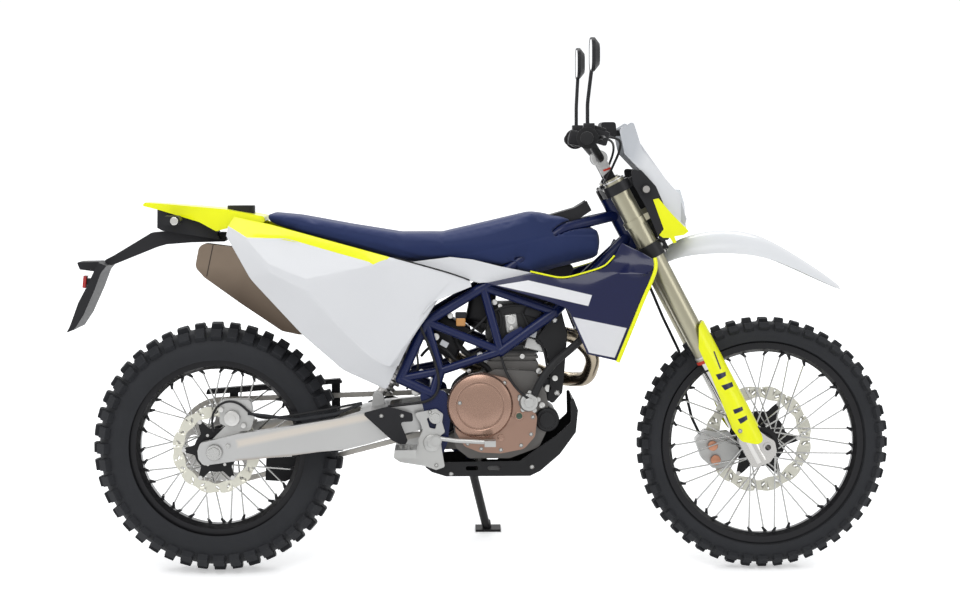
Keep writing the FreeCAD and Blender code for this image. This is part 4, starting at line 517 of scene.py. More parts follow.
def brake_disc(name, body, axle, y, radius, inner, carrier, slots):
    centre = axle + Vector((0, y, 0))
    bm = bmesh.new()
    for v in bmesh.ops.create_circle(bm, segments=216, radius=radius)["verts"]:
        a = math.atan2(v.co.y, v.co.x)
        v.co *= 1 - 0.035 * (0.5 + 0.5 * math.cos(WAVES * a)) ** 1.6
    for v in bmesh.ops.create_circle(bm, segments=216, radius=inner)["verts"]:
        a = math.atan2(v.co.y, v.co.x)
        v.co *= 1 + 0.05 * (0.5 + 0.5 * math.cos(WAVES * a))
    flat_ring(bm, DISC_THICK)
    across(bm, centre)
    ring = settle(bm, name, body, disc_steel, 30)
    holes = bmesh.new()
    for k in range(slots):
        a = 2 * math.pi * (k + 0.5) / slots
        for share, long, slant in ((0.40, 0.011, 0.9), (0.78, 0.006, 0.0)):
            reach = inner + (radius - inner) * share
            made = drum(holes, 12, 0.0021, 0.02)
            far = [v for v in made if v.co.x > 0]
            move(holes, far, (long - 0.004, 0, 0))
            swing(holes, made, slant if k % 2 else -slant, "Z")
            move(holes, made, (reach, 0, 0))
            swing(holes, made, a + (0.07 if share > 0.5 else 0), "Z")
    across(holes, centre)
    bmesh.ops.recalc_face_normals(holes, faces=holes.faces)
    cut_away(ring, settle(holes, "slots", body, disc_steel))
    bm = bmesh.new()
    hub_side = -1 if y > 0 else 1
    for v in bmesh.ops.create_circle(bm, segments=96, radius=carrier)["verts"]:
        a = math.atan2(v.co.y, v.co.x)
        v.co *= 1 + (inner * 1.03 / carrier - 1) * max(0.0, math.cos(ARMS * a)) ** 2.2
    bmesh.ops.create_circle(bm, segments=96, radius=CARRIER_BORE)
    flat_ring(bm, CARRIER_THICK)
    collar = bmesh.ops.create_cone(bm, segments=48, radius1=0.031, radius2=0.031, depth=0.018)["verts"]
    move(bm, collar, (0, 0, -hub_side * 0.009))
    across(bm, centre)
    piece = settle(bm, name + "_carrier", body, hub_black, 30)
    bm = bmesh.new()
    for k in range(ARMS):
        a = 2 * math.pi * k / ARMS
        for reach, size in ((inner, 0.0065), (CARRIER_BORE + 0.010, 0.0045)):
            made = drum(bm, 16, size, 0.0072, size * 0.9)
            move(bm, made, (reach * math.cos(a), reach * math.sin(a), 0))
    across(bm, centre)
    piece = settle(bm, name + "_buttons", body, bright, 30)
    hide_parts(name.replace("ring", "disc"))


brake_disc("front_ring", "front_wheel", FRONT_AXLE, y=0.066, radius=0.150, inner=0.112, carrier=0.078,
    slots=24)
brake_disc("rear_ring", "rear_wheel", REAR_AXLE, y=-0.086, radius=0.120, inner=0.088, carrier=0.060, slots=18)


# Small carried parts: rubber grips and brake hoses, clear lamp glass and the mirrors' silvered faces.
wear(rubber, "grips", "front_brake_hose", "rear_brake_hose")
glass = Finish("lamp_glass", (0.75, 0.78, 0.8), 0.08, coat=0.5, drift=0.02)
wear(glass, "headlamp")
mirror = Finish("mirror_face", (0.9, 0.9, 0.9), 0.03, metal=1.0, drift=0.01)
wear(mirror, "mirror_glass")


# Side panels: large white shells moulded in flat facets that meet in soft ridges, with a yellow top
# band, hung on pegs of the tank. Right and left are mirror images.
WALL = 0.003
FACET_LEVELS = 4


def shell(name, body, corners, facets, skins, ridge=0.95, flat=()):
    """Faceted moulding from named corners; skins gives the finish of each facet, flat the seams that aren't
    ridges. Both sides are made."""
    bm = bmesh.new()
    crease = bm.edges.layers.float.new("crease_edge")
    point = bm.verts.layers.float.new("crease_vert")
    verts = {key: bm.verts.new(place) for key, place in corners.items()}
    for i, facet in enumerate(facets):
        face = bm.faces.new([verts[key] for key in facet])
        face.material_index = skins[i][0]
    bmesh.ops.recalc_face_normals(bm, faces=bm.faces)
    for edge in bm.edges:
        edge[crease] = 1.0 if edge.is_boundary else ridge
    for a, b in flat:
        bm.edges.get((verts[a], verts[b]))[crease] = 0.0
    for vert in bm.verts:
        vert[point] = 0.92 if vert.is_boundary else 0.0
    bmesh.ops.mirror(bm, geom=bm.verts[:] + bm.edges[:] + bm.faces[:], axis="Y", merge_dist=0.0001)
    bmesh.ops.recalc_face_normals(bm, faces=bm.faces)
    for face in bm.faces:
        if face.normal.y * face.calc_center_median().y < 0:
            face.normal_flip()
    bm.transform(leaned)
    mesh = bpy.data.meshes.new(name)
    bm.to_mesh(mesh)
    bm.free()
    for index, finish in sorted({skin for skin in skins}, key=lambda skin: skin[0]):
        mesh.materials.append(finish.material)
    piece = placed(name, mesh)
    fine = piece.modifiers.new("facets", "SUBSURF")
    fine.levels = FACET_LEVELS
    settle_in(piece)
    piece.data.shade_smooth()
    piece.data.set_sharp_from_angle(angle=math.radians(7))
    thick = piece.modifiers.new("wall", "SOLIDIFY")
    thick.thickness = WALL
    thick.offset = -1
    edge = piece.modifiers.new("edge", "BEVEL")
    edge.width = 0.0008
    edge.segments = 2
    edge.limit_method = "ANGLE"
    edge.angle_limit = math.radians(50)
    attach(piece, body)
    return piece


side_white = Finish("side_panel_white", (0.71, 0.715, 0.73), 0.34, coat=0.25, drift=0.02, grain=1600,
    depth=0.00003)
panel_corners = {
    "A": (0.057, -0.097, 0.984), "B": (0.041, -0.108, 0.959), "C": (0.036, -0.114, 0.933),
    "D": (0.101, -0.118, 0.815), "E": (0.238, -0.121, 0.666), "F": (0.349, -0.121, 0.568),
    "G": (0.466, -0.122, 0.514), "H": (0.497, -0.136, 0.581), "I": (0.563, -0.146, 0.722),
    "J": (0.586, -0.146, 0.750), "K": (0.697, -0.140, 0.794), "L": (0.694, -0.138, 0.808),
    "M": (0.656, -0.136, 0.824), "N": (0.480, -0.128, 0.873), "O": (0.154, -0.102, 0.963),
    "P": (0.089, -0.120, 0.929), "Q": (0.150, -0.147, 0.859), "R": (0.152, -0.148, 0.836),
    "S": (0.195, -0.124, 0.928), "T": (0.254, -0.162, 0.817), "U": (0.260, -0.166, 0.782),
    "V": (0.305, -0.153, 0.833), "W": (0.378, -0.150, 0.841), "X": (0.439, -0.139, 0.857),
    "Y": (0.400, -0.159, 0.630), "Z": (0.446, -0.156, 0.593), "a": (0.474, -0.151, 0.579),
}
panel_facets = ["ABPSXNO", "BCDRQP", "PQTVWXS", "QRUT", "TUWV", "UYXW", "YZNX", "ZaMN", "aHIM", "IJLM", "JKL",
    "RDEU", "UEFY", "YFGZ", "ZGHa"]
panel_skins = [(1, yellow_plastic)] + [(0, side_white)] * 14
panels = shell("side_panel_shells", "chassis", panel_corners, panel_facets, panel_skins,
    flat=("UW", "YX", "ZN", "aM", "IM", "JL", "EU", "FY", "GZ"))
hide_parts("side_panels")


# Under the seat a slim white filler closes the gap down to the frame, and ahead of it a yellow-edged
# intake opens into the dark air box.
filler = shell("seat_fillers", "chassis", {"a": (0.520, -0.116, 0.858), "b": (0.586, -0.119, 0.866),
    "c": (0.640, -0.119, 0.873), "d": (0.700, -0.119, 0.866), "e": (0.775, -0.119, 0.847),
    "f": (0.862, -0.119, 0.829), "g": (0.775, -0.124, 0.806), "h": (0.717, -0.126, 0.803),
    "i": (0.612, -0.122, 0.832)}, ["abcdefghi"], [(0, side_white)], ridge=1.0)


# Shrouds: glossy navy mouldings over the radiators, in flat facets with soft ridges, a pale plain field
# and a long tapered stripe, and a thick yellow edge strip down the front.
shroud_gloss = Finish("shroud_gloss", (0.005, 0.008, 0.050), 0.16, coat=0.22, drift=0.04, grain=900,
    depth=0.00001, wear=0.04)
shroud_gloss.lay(shroud_gloss.inside([(0.969, 0.712), (1.112, 0.683), (1.080, 0.603), (1.012, 0.616)]),
    (0.72, 0.72, 0.74))
shroud_gloss.lay(shroud_gloss.inside([(0.766, 0.797), (0.850, 0.810), (1.020, 0.771), (1.010, 0.742)]),
    (0.76, 0.76, 0.78))
shroud_corners = {"a": (1.102, -0.150, 0.910), "b": (1.152, -0.168, 0.886), "c": (1.187, -0.178, 0.866),
    "d": (1.189, -0.184, 0.849), "e": (1.178, -0.191, 0.817), "f": (1.153, -0.192, 0.764),
    "g": (1.119, -0.190, 0.678), "h": (1.085, -0.186, 0.595), "i": (1.007, -0.168, 0.612),
    "j": (0.980, -0.170, 0.677), "k": (0.961, -0.168, 0.726), "l": (0.950, -0.166, 0.737),
    "m": (0.908, -0.160, 0.753), "n": (0.827, -0.150, 0.777), "o": (0.734, -0.138, 0.803),
    "p": (0.828, -0.137, 0.823), "q": (0.863, -0.137, 0.831), "r": (0.944, -0.147, 0.814),
    "s": (1.056, -0.156, 0.846), "t": (1.083, -0.148, 0.875), "u": (1.076, -0.180, 0.827),
    "v": (1.171, -0.198, 0.827)}
shrouds = shell("shroud_shells", "chassis", shroud_corners,
    ["abcdvust", "opn", "pqmn", "qrlm", "rsul", "lufk", "uvdef", "kfgj", "jghi"], [(0, shroud_gloss)] * 9,
    ridge=0.9, flat=("pn", "qm", "rl", "ul", "uf", "kf", "jg"))
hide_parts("shrouds")


def swept(name, body, lines, radius, finish, steps, rounds):
    """A round bead swept along smooth lines of points."""
    curve = bpy.data.curves.new(name, "CURVE")
    curve.dimensions = "3D"
    for line in lines:
        run = curve.splines.new("NURBS")
        run.points.add(len(line) - 1)
        for point, place in zip(run.points, line):
            point.co = (*place, 1)
        run.order_u = 3
        run.use_endpoint_u = True
        run.resolution_u = steps
    curve.bevel_depth = radius
    curve.bevel_resolution = rounds
    curve.use_fill_caps = True
    holder = placed(name + "_line", curve)
    bpy.context.view_layer.update()
    mesh = bpy.data.meshes.new_from_object(holder.evaluated_get(bpy.context.evaluated_depsgraph_get()))
    bpy.data.objects.remove(holder)
    bm = bmesh.new()
    bm.from_mesh(mesh)
    bpy.data.meshes.remove(mesh)
    return settle(bm, name, body, finish, 40)


def strip(name, body, line, thick, finish):
    """A rounded strip along a line of points, the same on both sides."""
    return swept(name, body, [[(x, side * y, z) for x, y, z in line] for side in (1, -1)], thick / 2, finish,
        8, 3)


edging = strip("shroud_edging", "chassis", [(1.189, -0.176, 0.869), (1.193, -0.187, 0.850),
    (1.181, -0.194, 0.815), (1.157, -0.195, 0.764), (1.123, -0.193, 0.678), (1.088, -0.189, 0.592)], 0.011,
    yellow_plastic)
lip = strip("intake_lip", "chassis", [(0.856, -0.139, 0.834), (0.900, -0.144, 0.824), (0.944, -0.150, 0.815),
    (1.000, -0.154, 0.830), (1.052, -0.158, 0.846), (1.070, -0.155, 0.862), (1.082, -0.151, 0.876)], 0.005,
    yellow_plastic)


# Seat: one long foam pad under a matte navy cover, flat on top with a soft shoulder, whose welded
# seam runs along each side and whose top carries fine grip ribs.
def soft_copy(node, name, voxel):
    """The node's own shape as one closed skin of even faces."""
    bm = bmesh.new()
    bm.from_mesh(nodes[node].data)
    bmesh.ops.remove_doubles(bm, verts=bm.verts, dist=0.00005)
    mesh = bpy.data.meshes.new(name)
    bm.to_mesh(mesh)
    bm.free()
    piece = placed(name, mesh)
    even = piece.modifiers.new("even", "REMESH")
    even.mode = "VOXEL"
    even.voxel_size = voxel
    settle_in(piece)
    return piece


seat_vinyl = Finish("seat_vinyl", (0.011, 0.022, 0.085), 0.66, drift=0.05, grain=2600, depth=0.00018,
    wear=0.12)
seat = soft_copy("seat", "seat_pad", 0.0055)
rest = [v.co.copy() for v in seat.data.vertices]
MOST_SWELL = 0.005
SEAM_DEEP = 0.0016
SEAM_HALF = 0.0035
pad = seat.modifiers.new("foam", "CLOTH")
pad.settings.use_pressure = True
pad.settings.uniform_pressure_force = 4
pad.settings.effector_weights.gravity = 0
pad.settings.quality = 4
pad.collision_settings.use_collision = False
scene = bpy.context.scene
for moment in range(1, 13):
    scene.frame_set(moment)
settle_in(seat)
scene.frame_set(1)
upright = leaned.inverted()
bm = bmesh.new()
bm.from_mesh(seat.data)
bm.verts.ensure_lookup_table()
for v, start in zip(bm.verts, rest):
    swell = v.co - start
    if swell.length > MOST_SWELL:
        v.co = start + swell.normalized() * MOST_SWELL
bm.transform(upright)
for _ in range(2):
    bmesh.ops.smooth_vert(bm, verts=bm.verts, factor=0.5, use_axis_x=True, use_axis_y=True, use_axis_z=True)
bm.normal_update()
for v in bm.verts:
    x, y, z = v.co
    seam = 0.9925 - 0.115 * min(1, max(0, (x - 0.14) / 0.45)) + 0.062 * max(0, (x - 0.60)) / 0.30
    seam = min(seam, 0.945) if x > 0.5 else seam
    near = math.exp(-((z - seam + 0.014) / SEAM_HALF) ** 2) if abs(y) > 0.05 else 0
    v.co -= v.normal * SEAM_DEEP * near
bm.transform(leaned)
bm.to_mesh(seat.data)
bm.free()
seat.data.materials.clear()
seat.data.materials.append(seat_vinyl.material)
seat.data.shade_smooth()
round_off = seat.modifiers.new("round", "SUBSURF")
round_off.levels = 1
round_off.render_levels = 1
ribs = seat_vinyl.add("ShaderNodeTexWave")
ribs.wave_type = "BANDS"
ribs.bands_direction = "X"
ribs.inputs["Scale"].default_value = 70
ribs.inputs["Distortion"].default_value = 0.4
seat_vinyl.join(seat_vinyl.upright, ribs.inputs["Vector"])
facing = seat_vinyl.add("ShaderNodeNewGeometry")
topness = seat_vinyl.add("ShaderNodeVectorMath", "DOT_PRODUCT")
topness.inputs[1].default_value = (0, math.sin(LEAN), math.cos(LEAN))
seat_vinyl.join(facing.outputs["Normal"], topness.inputs[0])
flat_top = seat_vinyl.span(topness.outputs["Value"], from_min=0.55, from_max=0.85)
rib_height = seat_vinyl.add("ShaderNodeMath", "MULTIPLY")
seat_vinyl.join(ribs.outputs["Fac"], rib_height.inputs[0])
seat_vinyl.join(flat_top, rib_height.inputs[1])
rib_bump = seat_vinyl.add("ShaderNodeBump")
rib_bump.inputs["Strength"].default_value = 0.5
rib_bump.inputs["Distance"].default_value = 0.0006
seat_vinyl.join(rib_height.outputs[0], rib_bump.inputs["Height"])
seat_vinyl.join(seat_vinyl.bump.outputs["Normal"], rib_bump.inputs["Normal"])
seat_vinyl.join(rib_bump.outputs["Normal"], seat_vinyl.shader.inputs["Normal"])
# Painted light: the upward-facing top of the cover is a lighter navy than its sides.
seat_vinyl.lay(flat_top, (0.030, 0.044, 0.130))
seat_vinyl.shader.inputs["Sheen Weight"].default_value = 0.15
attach(seat, "chassis")
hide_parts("seat")


# Drive chain: steel outer and inner plates on pins and rollers, one closed loop round both sprockets,
# lying on the line of the fixed CAD loop.
PITCH = 0.015875
SPROCKET_TEETH = 45
PINION_TEETH = 16
ROLLER = 0.0048
rear_ring = PITCH / (2 * math.sin(math.pi / SPROCKET_TEETH)) + ROLLER
front_ring = PITCH / (2 * math.sin(math.pi / PINION_TEETH)) + ROLLER
rear_centre = Vector((0, 0.095, REAR_Z))
front_centre = Vector((0.668, 0.095, 0.442))
span = front_centre - rear_centre
tilt = math.asin((rear_ring - front_ring) / span.length)
top = math.atan2(span.z, span.x) + math.pi / 2 - tilt
straight = span.length * math.cos(tilt)
front_arc = front_ring * (math.pi - 2 * tilt)
loop_length = 2 * straight + front_arc + rear_ring * (math.pi + 2 * tilt)


def ray(a):
    return Vector((math.cos(a), 0, math.sin(a)))


def onward(a):
    return Vector((math.sin(a), 0, -math.cos(a)))


def chain_point(s):
    """Pin place at a length along the loop, from the top of the rear sprocket forward."""
    s %= loop_length
    low = top - front_arc / front_ring
    if s < straight:
        return rear_centre + ray(top) * rear_ring + onward(top) * s
    s -= straight
    if s < front_arc:
        a = top - s / front_ring
        return front_centre + ray(a) * front_ring
    s -= front_arc
    if s < straight:
        return front_centre + ray(low) * front_ring + onward(low) * s
    a = low - (s - straight) / rear_ring
    return rear_centre + ray(a) * rear_ring


links = 2 * round(loop_length / PITCH / 2)
bm = bmesh.new()
for k in range(links):
    here = chain_point(k * loop_length / links)
    there = chain_point((k + 1) * loop_length / links)
    way = there - here
    turn = Matrix.Rotation(-math.atan2(way.z, way.x), 3, "Y")
    for side in (-1, 1):
        made = drum(bm, 14, 0.0068, 0.0016)
        swing(bm, made, math.pi / 2, "X")
        move(bm, [v for v in made if v.co.x > 0], (way.length, 0, 0))
        bmesh.ops.rotate(bm, verts=made, matrix=turn)
        move(bm, made, here + Vector((0, side * (0.0071 if k % 2 else 0.0053), 0)))
    for radius, wide in ((ROLLER, 0.0090), (0.0024, 0.0168)):
        made = drum(bm, 10, radius, wide)
        swing(bm, made, math.pi / 2, "X")
        move(bm, made, here)
chain_steel = Finish("chain_steel", (0.34, 0.325, 0.30), 0.32, metal=1.0, drift=0.25, grain=300,
    depth=0.00005)
chain = settle(bm, "chain_links", "chassis", chain_steel, 30)
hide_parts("chain")


# Cap screws and axle nuts: zinc-plated steel, each with its socket, standing on whatever the level line
# from its own side meets first.
def outside(names, x, z, side=-1):
    """How far out, in upright metres, the pieces are at a place in side view."""
    start = leaned @ Vector((x, side * 0.5, z))
    way = leaned.to_3x3() @ Vector((0, -side, 0))
    found = []
    for name in names:
        hit, place, _, _ = nodes[name].ray_cast(start, way)
        if hit:
            found.append((upright @ place).y * side)
    return max(found) * side if found else None


SCREW_TALL = 0.0045


def screws(name, body, carriers, places, radius, finish, side=-1):
    """Cap screws with their sockets, each standing on the first carrier met from its side."""
    bm = bmesh.new()
    for x, z in places:
        y = outside(carriers, x, z, side)
        if y is None:
            continue
        verts = drum(bm, 18, radius, SCREW_TALL)
        cap = [f for f in {f for v in verts for f in v.link_faces} if f.normal.z > 0.9]
        bmesh.ops.inset_region(bm, faces=cap, thickness=radius * 0.42, depth=0)
        move(bm, list({v for f in cap for v in f.verts}), (0, 0, -SCREW_TALL * 0.6))
        whole = list({v for f in cap for v in f.verts} | {v for v in verts if v.is_valid})
        whole = list({w for v in whole for e in v.link_edges for w in e.verts})
        swing(bm, whole, math.pi / 2 * -side, "X")
        move(bm, whole, (x, y + side * (SCREW_TALL / 2 - 0.0006), z))
    piece = settle(bm, name, body, finish, 30)


zinc = Finish("zinc_plate", (0.48, 0.48, 0.47), 0.26, metal=1.0, drift=0.04, grain=900, depth=0.000004)
chassis_carriers = ["trellis_frame", "engine_brackets", "crankcase", "engine_covers", "cylinder",
    "skid_plate", "footrests", "heel_guards", "swingarm"]
mount_places = [(0.924, 0.697), (0.846, 0.625), (0.936, 0.598), (0.930, 0.500), (0.719, 0.609),
    (0.865, 0.655)]
for side, word in ((-1, "right"), (1, "left")):
    screws("mount_screws_" + word, "chassis", chassis_carriers, mount_places, 0.0075, zinc, side)
cover_places = [(0.664, 0.480), (0.684, 0.538), (0.729, 0.549), (0.786, 0.533), (0.826, 0.495),
    (0.862, 0.439), (0.857, 0.392), (0.830, 0.362), (0.775, 0.350), (0.722, 0.353), (0.685, 0.367)]
screws("cover_screws", "chassis", ["engine_covers"], cover_places, 0.0055, zinc)
screws("magneto_screws", "chassis", ["engine_covers"],
    [(0.757, 0.375), (0.752, 0.430), (0.766, 0.496), (0.806, 0.513), (0.858, 0.490), (0.872, 0.428),
    (0.850, 0.372)], 0.0055, zinc, side=1)
bracket_places = [(0.508, 0.446), (0.523, 0.372), (0.600, 0.310), (0.583, 0.455), (0.452, 0.446)]
screws("footrest_screws", "chassis", ["footrests", "heel_guards"], bracket_places, 0.0055, zinc)
screws("footrest_screws_left", "chassis", ["footrests", "heel_guards"], bracket_places, 0.0055, zinc, side=1)
for side, word in ((-1, "right"), (1, "left")):
    screws("clamp_screws_" + word, "steering", ["triple_clamps"],
        [(1.047, 1.067), (1.056, 1.050), (1.212, 0.905), (1.221, 0.887)], 0.0055, zinc, side)
    screws("guard_screws_" + word, "steering", ["fork_guards", "fork_inner_tubes"], [(1.424, 0.398)], 0.006,
        zinc, side)


def hex_nut(name, body, places, finish):
    """A six-sided nut with a chamfered outer edge, on a washer."""
    bm = bmesh.new()
    for place, radius, tall, side in places:
        for segments, r, d, off in ((6, radius, tall, 0), (32, radius * 1.3, 0.0025, -tall / 2)):
            made = drum(bm, segments, r, d, r * 0.94)
            move(bm, made, (0, 0, off))
            swing(bm, made, math.pi / 2 * -side, "X")
            move(bm, made, place)
    piece = settle(bm, name, body, finish, 25)


hex_nut("rear_axle_nuts", "chassis", [((0, -0.153, REAR_Z), 0.017, 0.010, -1),
    ((0, 0.153, REAR_Z), 0.017, 0.010, 1)], zinc)
hex_nut("pivot_nuts", "chassis", [((0.598, -0.146, 0.440), 0.014, 0.008, -1),
    ((0.598, 0.136, 0.439), 0.014, 0.008, 1)], zinc)


# Engine dress: the bronze clutch bell with its ring groove, sight glass and plug, the water pump with its
# hose, the starter, the throttle body and the black hoses and boxes inside the trellis.
bronze_bell = Finish("bronze_bell", (0.31, 0.195, 0.148), 0.27, metal=0.85, coat=0.15, drift=0.03, grain=300,
    depth=0.000004)
bm = bmesh.new()
bell = [(0.0895, -0.130), (0.0890, -0.138), (0.0845, -0.1445), (0.0760, -0.1480), (0.0665, -0.1500),
    (0.0645, -0.1492), (0.0640, -0.1465), (0.0620, -0.1465), (0.0615, -0.1492), (0.0590, -0.1505),
    (0.0300, -0.1515), (0.0, -0.1520)]
lathe(bm, [(r, y, 0) for r, y in bell], ACROSS, 96)
bmesh.ops.remove_doubles(bm, verts=bm.verts, dist=0.00001)
move(bm, bm.verts, (0.719, 0, 0.471))
piece = settle(bm, "clutch_bell", "chassis", bronze_bell, 30)


def turned_parts(name, body, parts, finish):
    """Round parts across the machine: (x, y outer, z), radius, depth, and which way they face."""
    bm = bmesh.new()
    for (x, y, z), radius, depth, side in parts:
        made = drum(bm, 36, radius, depth)
        rim = [e for e in {e for v in made for e in v.link_edges} if all(v.co.z > 0 for v in e.verts)]
        faces = break_edges(bm, rim, min(radius, depth) * 0.18, 3)
        made = list({v for v in made if v.is_valid} | {v for f in faces for v in f.verts})
        swing(bm, made, math.pi / 2 * -side, "X")
        move(bm, made, (x, y - side * depth / 2, z))
    piece = settle(bm, name, body, finish, 30)


engine_black = Finish("engine_black", (0.020, 0.020, 0.021), 0.40, metal=0.35, drift=0.2, grain=1500,
    depth=0.0001)
sight_green = Finish("sight_glass", (0.01, 0.05, 0.025), 0.08, coat=1.0, drift=0.1)
turned_parts("sight_rim", "chassis", [((0.825, -0.1375, 0.442), 0.0125, 0.007, -1),
    ((0.775, -0.1365, 0.383), 0.0095, 0.006, -1)], bronze_bell)
turned_parts("sight_window", "chassis", [((0.825, -0.1385, 0.442), 0.0085, 0.004, -1)], sight_green)
turned_parts("water_pump", "chassis", [((0.852, -0.143, 0.479), 0.024, 0.018, -1),
    ((0.852, -0.150, 0.479), 0.013, 0.012, -1)] + [((0.852 + 0.026 * math.cos(a), -0.139,
    0.479 + 0.026 * math.sin(a)), 0.0065, 0.012, -1) for a in (0.3, 1.5, 2.8, 4.0, 5.3)], cast)
turned_parts("starter_and_filter", "chassis", [((0.902, -0.112, 0.428), 0.033, 0.05, -1),
    ((0.902, -0.117, 0.428), 0.022, 0.010, -1)], engine_black)
hose_rubber = Finish("hose_rubber", (0.018, 0.018, 0.019), 0.55, drift=0.15, grain=900, depth=0.0001)


def tube(name, body, line, radius, finish):
    """A round hose or pipe along a smooth line of points on one side."""
    piece = swept(name, body, [line], radius, finish, 10, 4)


def hoses(body, rows):
    """Rubber lines of a body, each as name, radius and points."""
    for name, radius, line in rows:
        tube(name, body, line, radius, hose_rubber)


hoses("chassis", [("coolant_hose_low", 0.0105, [(0.866, -0.138, 0.500), (0.885, -0.138, 0.545),
    (0.925, -0.125, 0.590), (0.965, -0.115, 0.620), (0.998, -0.112, 0.650)]),
    ("coolant_hose_high", 0.0105, [(0.862, -0.060, 0.725), (0.905, -0.085, 0.765), (0.970, -0.100, 0.790),
    (1.046, -0.112, 0.793)]), ("clutch_line", 0.0035, [(0.768, -0.096, 0.640), (0.782, -0.118, 0.575),
    (0.806, -0.136, 0.531), (0.832, -0.143, 0.502), (0.850, -0.146, 0.490)]),
    ("brake_line_right", 0.0036, [(0.556, -0.128, 0.690), (0.580, -0.130, 0.640), (0.604, -0.131, 0.570),
    (0.610, -0.131, 0.520), (0.590, -0.131, 0.486), (0.540, -0.131, 0.476), (0.470, -0.130, 0.470)]),
    ("breather_hose", 0.008, [(0.640, -0.040, 0.690), (0.652, -0.070, 0.640), (0.690, -0.078, 0.600),
    (0.735, -0.075, 0.575), (0.745, -0.074, 0.560)])])


def soft_box(name, body, low, high, round_edge, finish, turn=0.0):
    """A moulded or cast box with rounded edges, turned about its middle in side view."""
    bm = bmesh.new()
    bmesh.ops.create_cube(bm, size=1.0)
    low, high = Vector(low), Vector(high)
    bmesh.ops.scale(bm, vec=high - low, verts=bm.verts)
    break_edges(bm, bm.edges[:], round_edge, 4)
    swing(bm, bm.verts, turn, "Y")
    move(bm, bm.verts, (low + high) / 2)
    piece = settle(bm, name, body, finish, 40)


soft_box("intake_boot", "chassis", (0.690, -0.050, 0.690), (0.760, 0.050, 0.780), 0.014, black_plastic,
    0.2)
soft_box("throttle_body", "chassis", (0.788, -0.090, 0.662), (0.824, -0.070, 0.716), 0.006, cast,
    -0.12)
soft_box("battery_box", "chassis", (0.590, -0.060, 0.600), (0.680, 0.060, 0.700), 0.008, black_plastic,
    0.5)
turned_parts("throttle_wheel", "chassis", [((0.806, -0.095, 0.700), 0.012, 0.006, -1),
    ((0.806, -0.098, 0.700), 0.005, 0.006, -1), ((0.806, -0.095, 0.676), 0.007, 0.006, -1)], bright)
amber = Finish("fluid_amber", (0.55, 0.26, 0.07), 0.15, coat=0.8, drift=0.1)
soft_box("fluid_cup", "chassis", (0.655, -0.108, 0.684), (0.681, -0.086, 0.708), 0.004, amber)
soft_box("fluid_cap", "chassis", (0.653, -0.110, 0.706), (0.684, -0.084, 0.722), 0.004, black_plastic)


# Fork dress: red wiper seals at the foot of the outer tubes, a thin travel ring on each inner tube, and
# bright bands on the outer tubes. The fork's own frame runs up along the steering axis.
RAKE = math.radians(27.7)
fork_forward = Vector((math.cos(RAKE), 0, math.sin(RAKE)))
fork_up = Vector((-math.sin(RAKE), 0, math.cos(RAKE)))
steering_foot = FRONT_AXLE - 0.055 * fork_forward
fork_frame = Matrix((fork_forward, Vector((0, 1, 0)), fork_up)).transposed().to_4x4()
fork_frame.translation = steering_foot
seal_red = Finish("seal_red", (0.60, 0.035, 0.015), 0.35, coat=0.2, drift=0.05)


def fork_rings(name, rows, finish):
    """Rounded rings round both legs: height along the fork, radius, height of the ring."""
    bm = bmesh.new()
    for up, radius, tall in rows:
        for side in (-1, 1):
            line = [(radius - 0.004, -tall / 2), (radius - 0.001, -tall / 2), (radius, -tall / 3),
                (radius, tall / 3), (radius - 0.001, tall / 2), (radius - 0.004, tall / 2)]
            lathe(bm, [(r, 0, z) for r, z in line], UP, 48, closed=True)
            near = [v for v in bm.verts if not v.tag]
            move(bm, near, (0.022, side * 0.100, up))
            for v in near:
                v.tag = True
    bm.transform(fork_frame)
    piece = settle(bm, name, "steering", finish, 40)


fork_rings("fork_seals", [(0.2885, 0.0312, 0.009)], seal_red)
fork_rings("travel_rings", [(0.262, 0.0255, 0.005)], hose_rubber)
fork_rings("tube_bands", [(0.3015, 0.0304, 0.006), (0.838, 0.0302, 0.004)], bright)


# Front indicators and mask trim: short black stalks with a clear end, yellow cheeks on the mask's side
# panels, clear sides of the lamp's lens, and the white mask with its yellow foot and pale upper screen.
turned_parts("front_indicator_stalks", "steering",
    [((1.168, side * 0.146, 1.054), 0.0115, 0.021, side) for side in (-1, 1)], black_plastic)
lens_amber = Finish("indicator_lens", (0.36, 0.34, 0.32), 0.12, coat=0.8, drift=0.05)
turned_parts("front_indicator_lenses", "steering",
    [((1.168, side * 0.151, 1.054), 0.0095, 0.006, side) for side in (-1, 1)], lens_amber)


def plate(name, body, outline, y, thick, finish):
    """A flat moulded plate with a broken edge from its outline in side view, the same on both sides."""
    bm = bmesh.new()
    for side in (-1, 1):
        face = bm.faces.new([bm.verts.new((x, side * y, z)) for x, z in outline])
        made = bmesh.ops.extrude_face_region(bm, geom=[face])["geom"]
        raised = [v for v in made if isinstance(v, bmesh.types.BMVert)]
        move(bm, raised, (0, side * thick, 0))
    bmesh.ops.recalc_face_normals(bm, faces=bm.faces)
    break_edges(bm, bm.edges[:], min(0.0008, thick / 3), 2)
    piece = settle(bm, name, body, finish, 30)


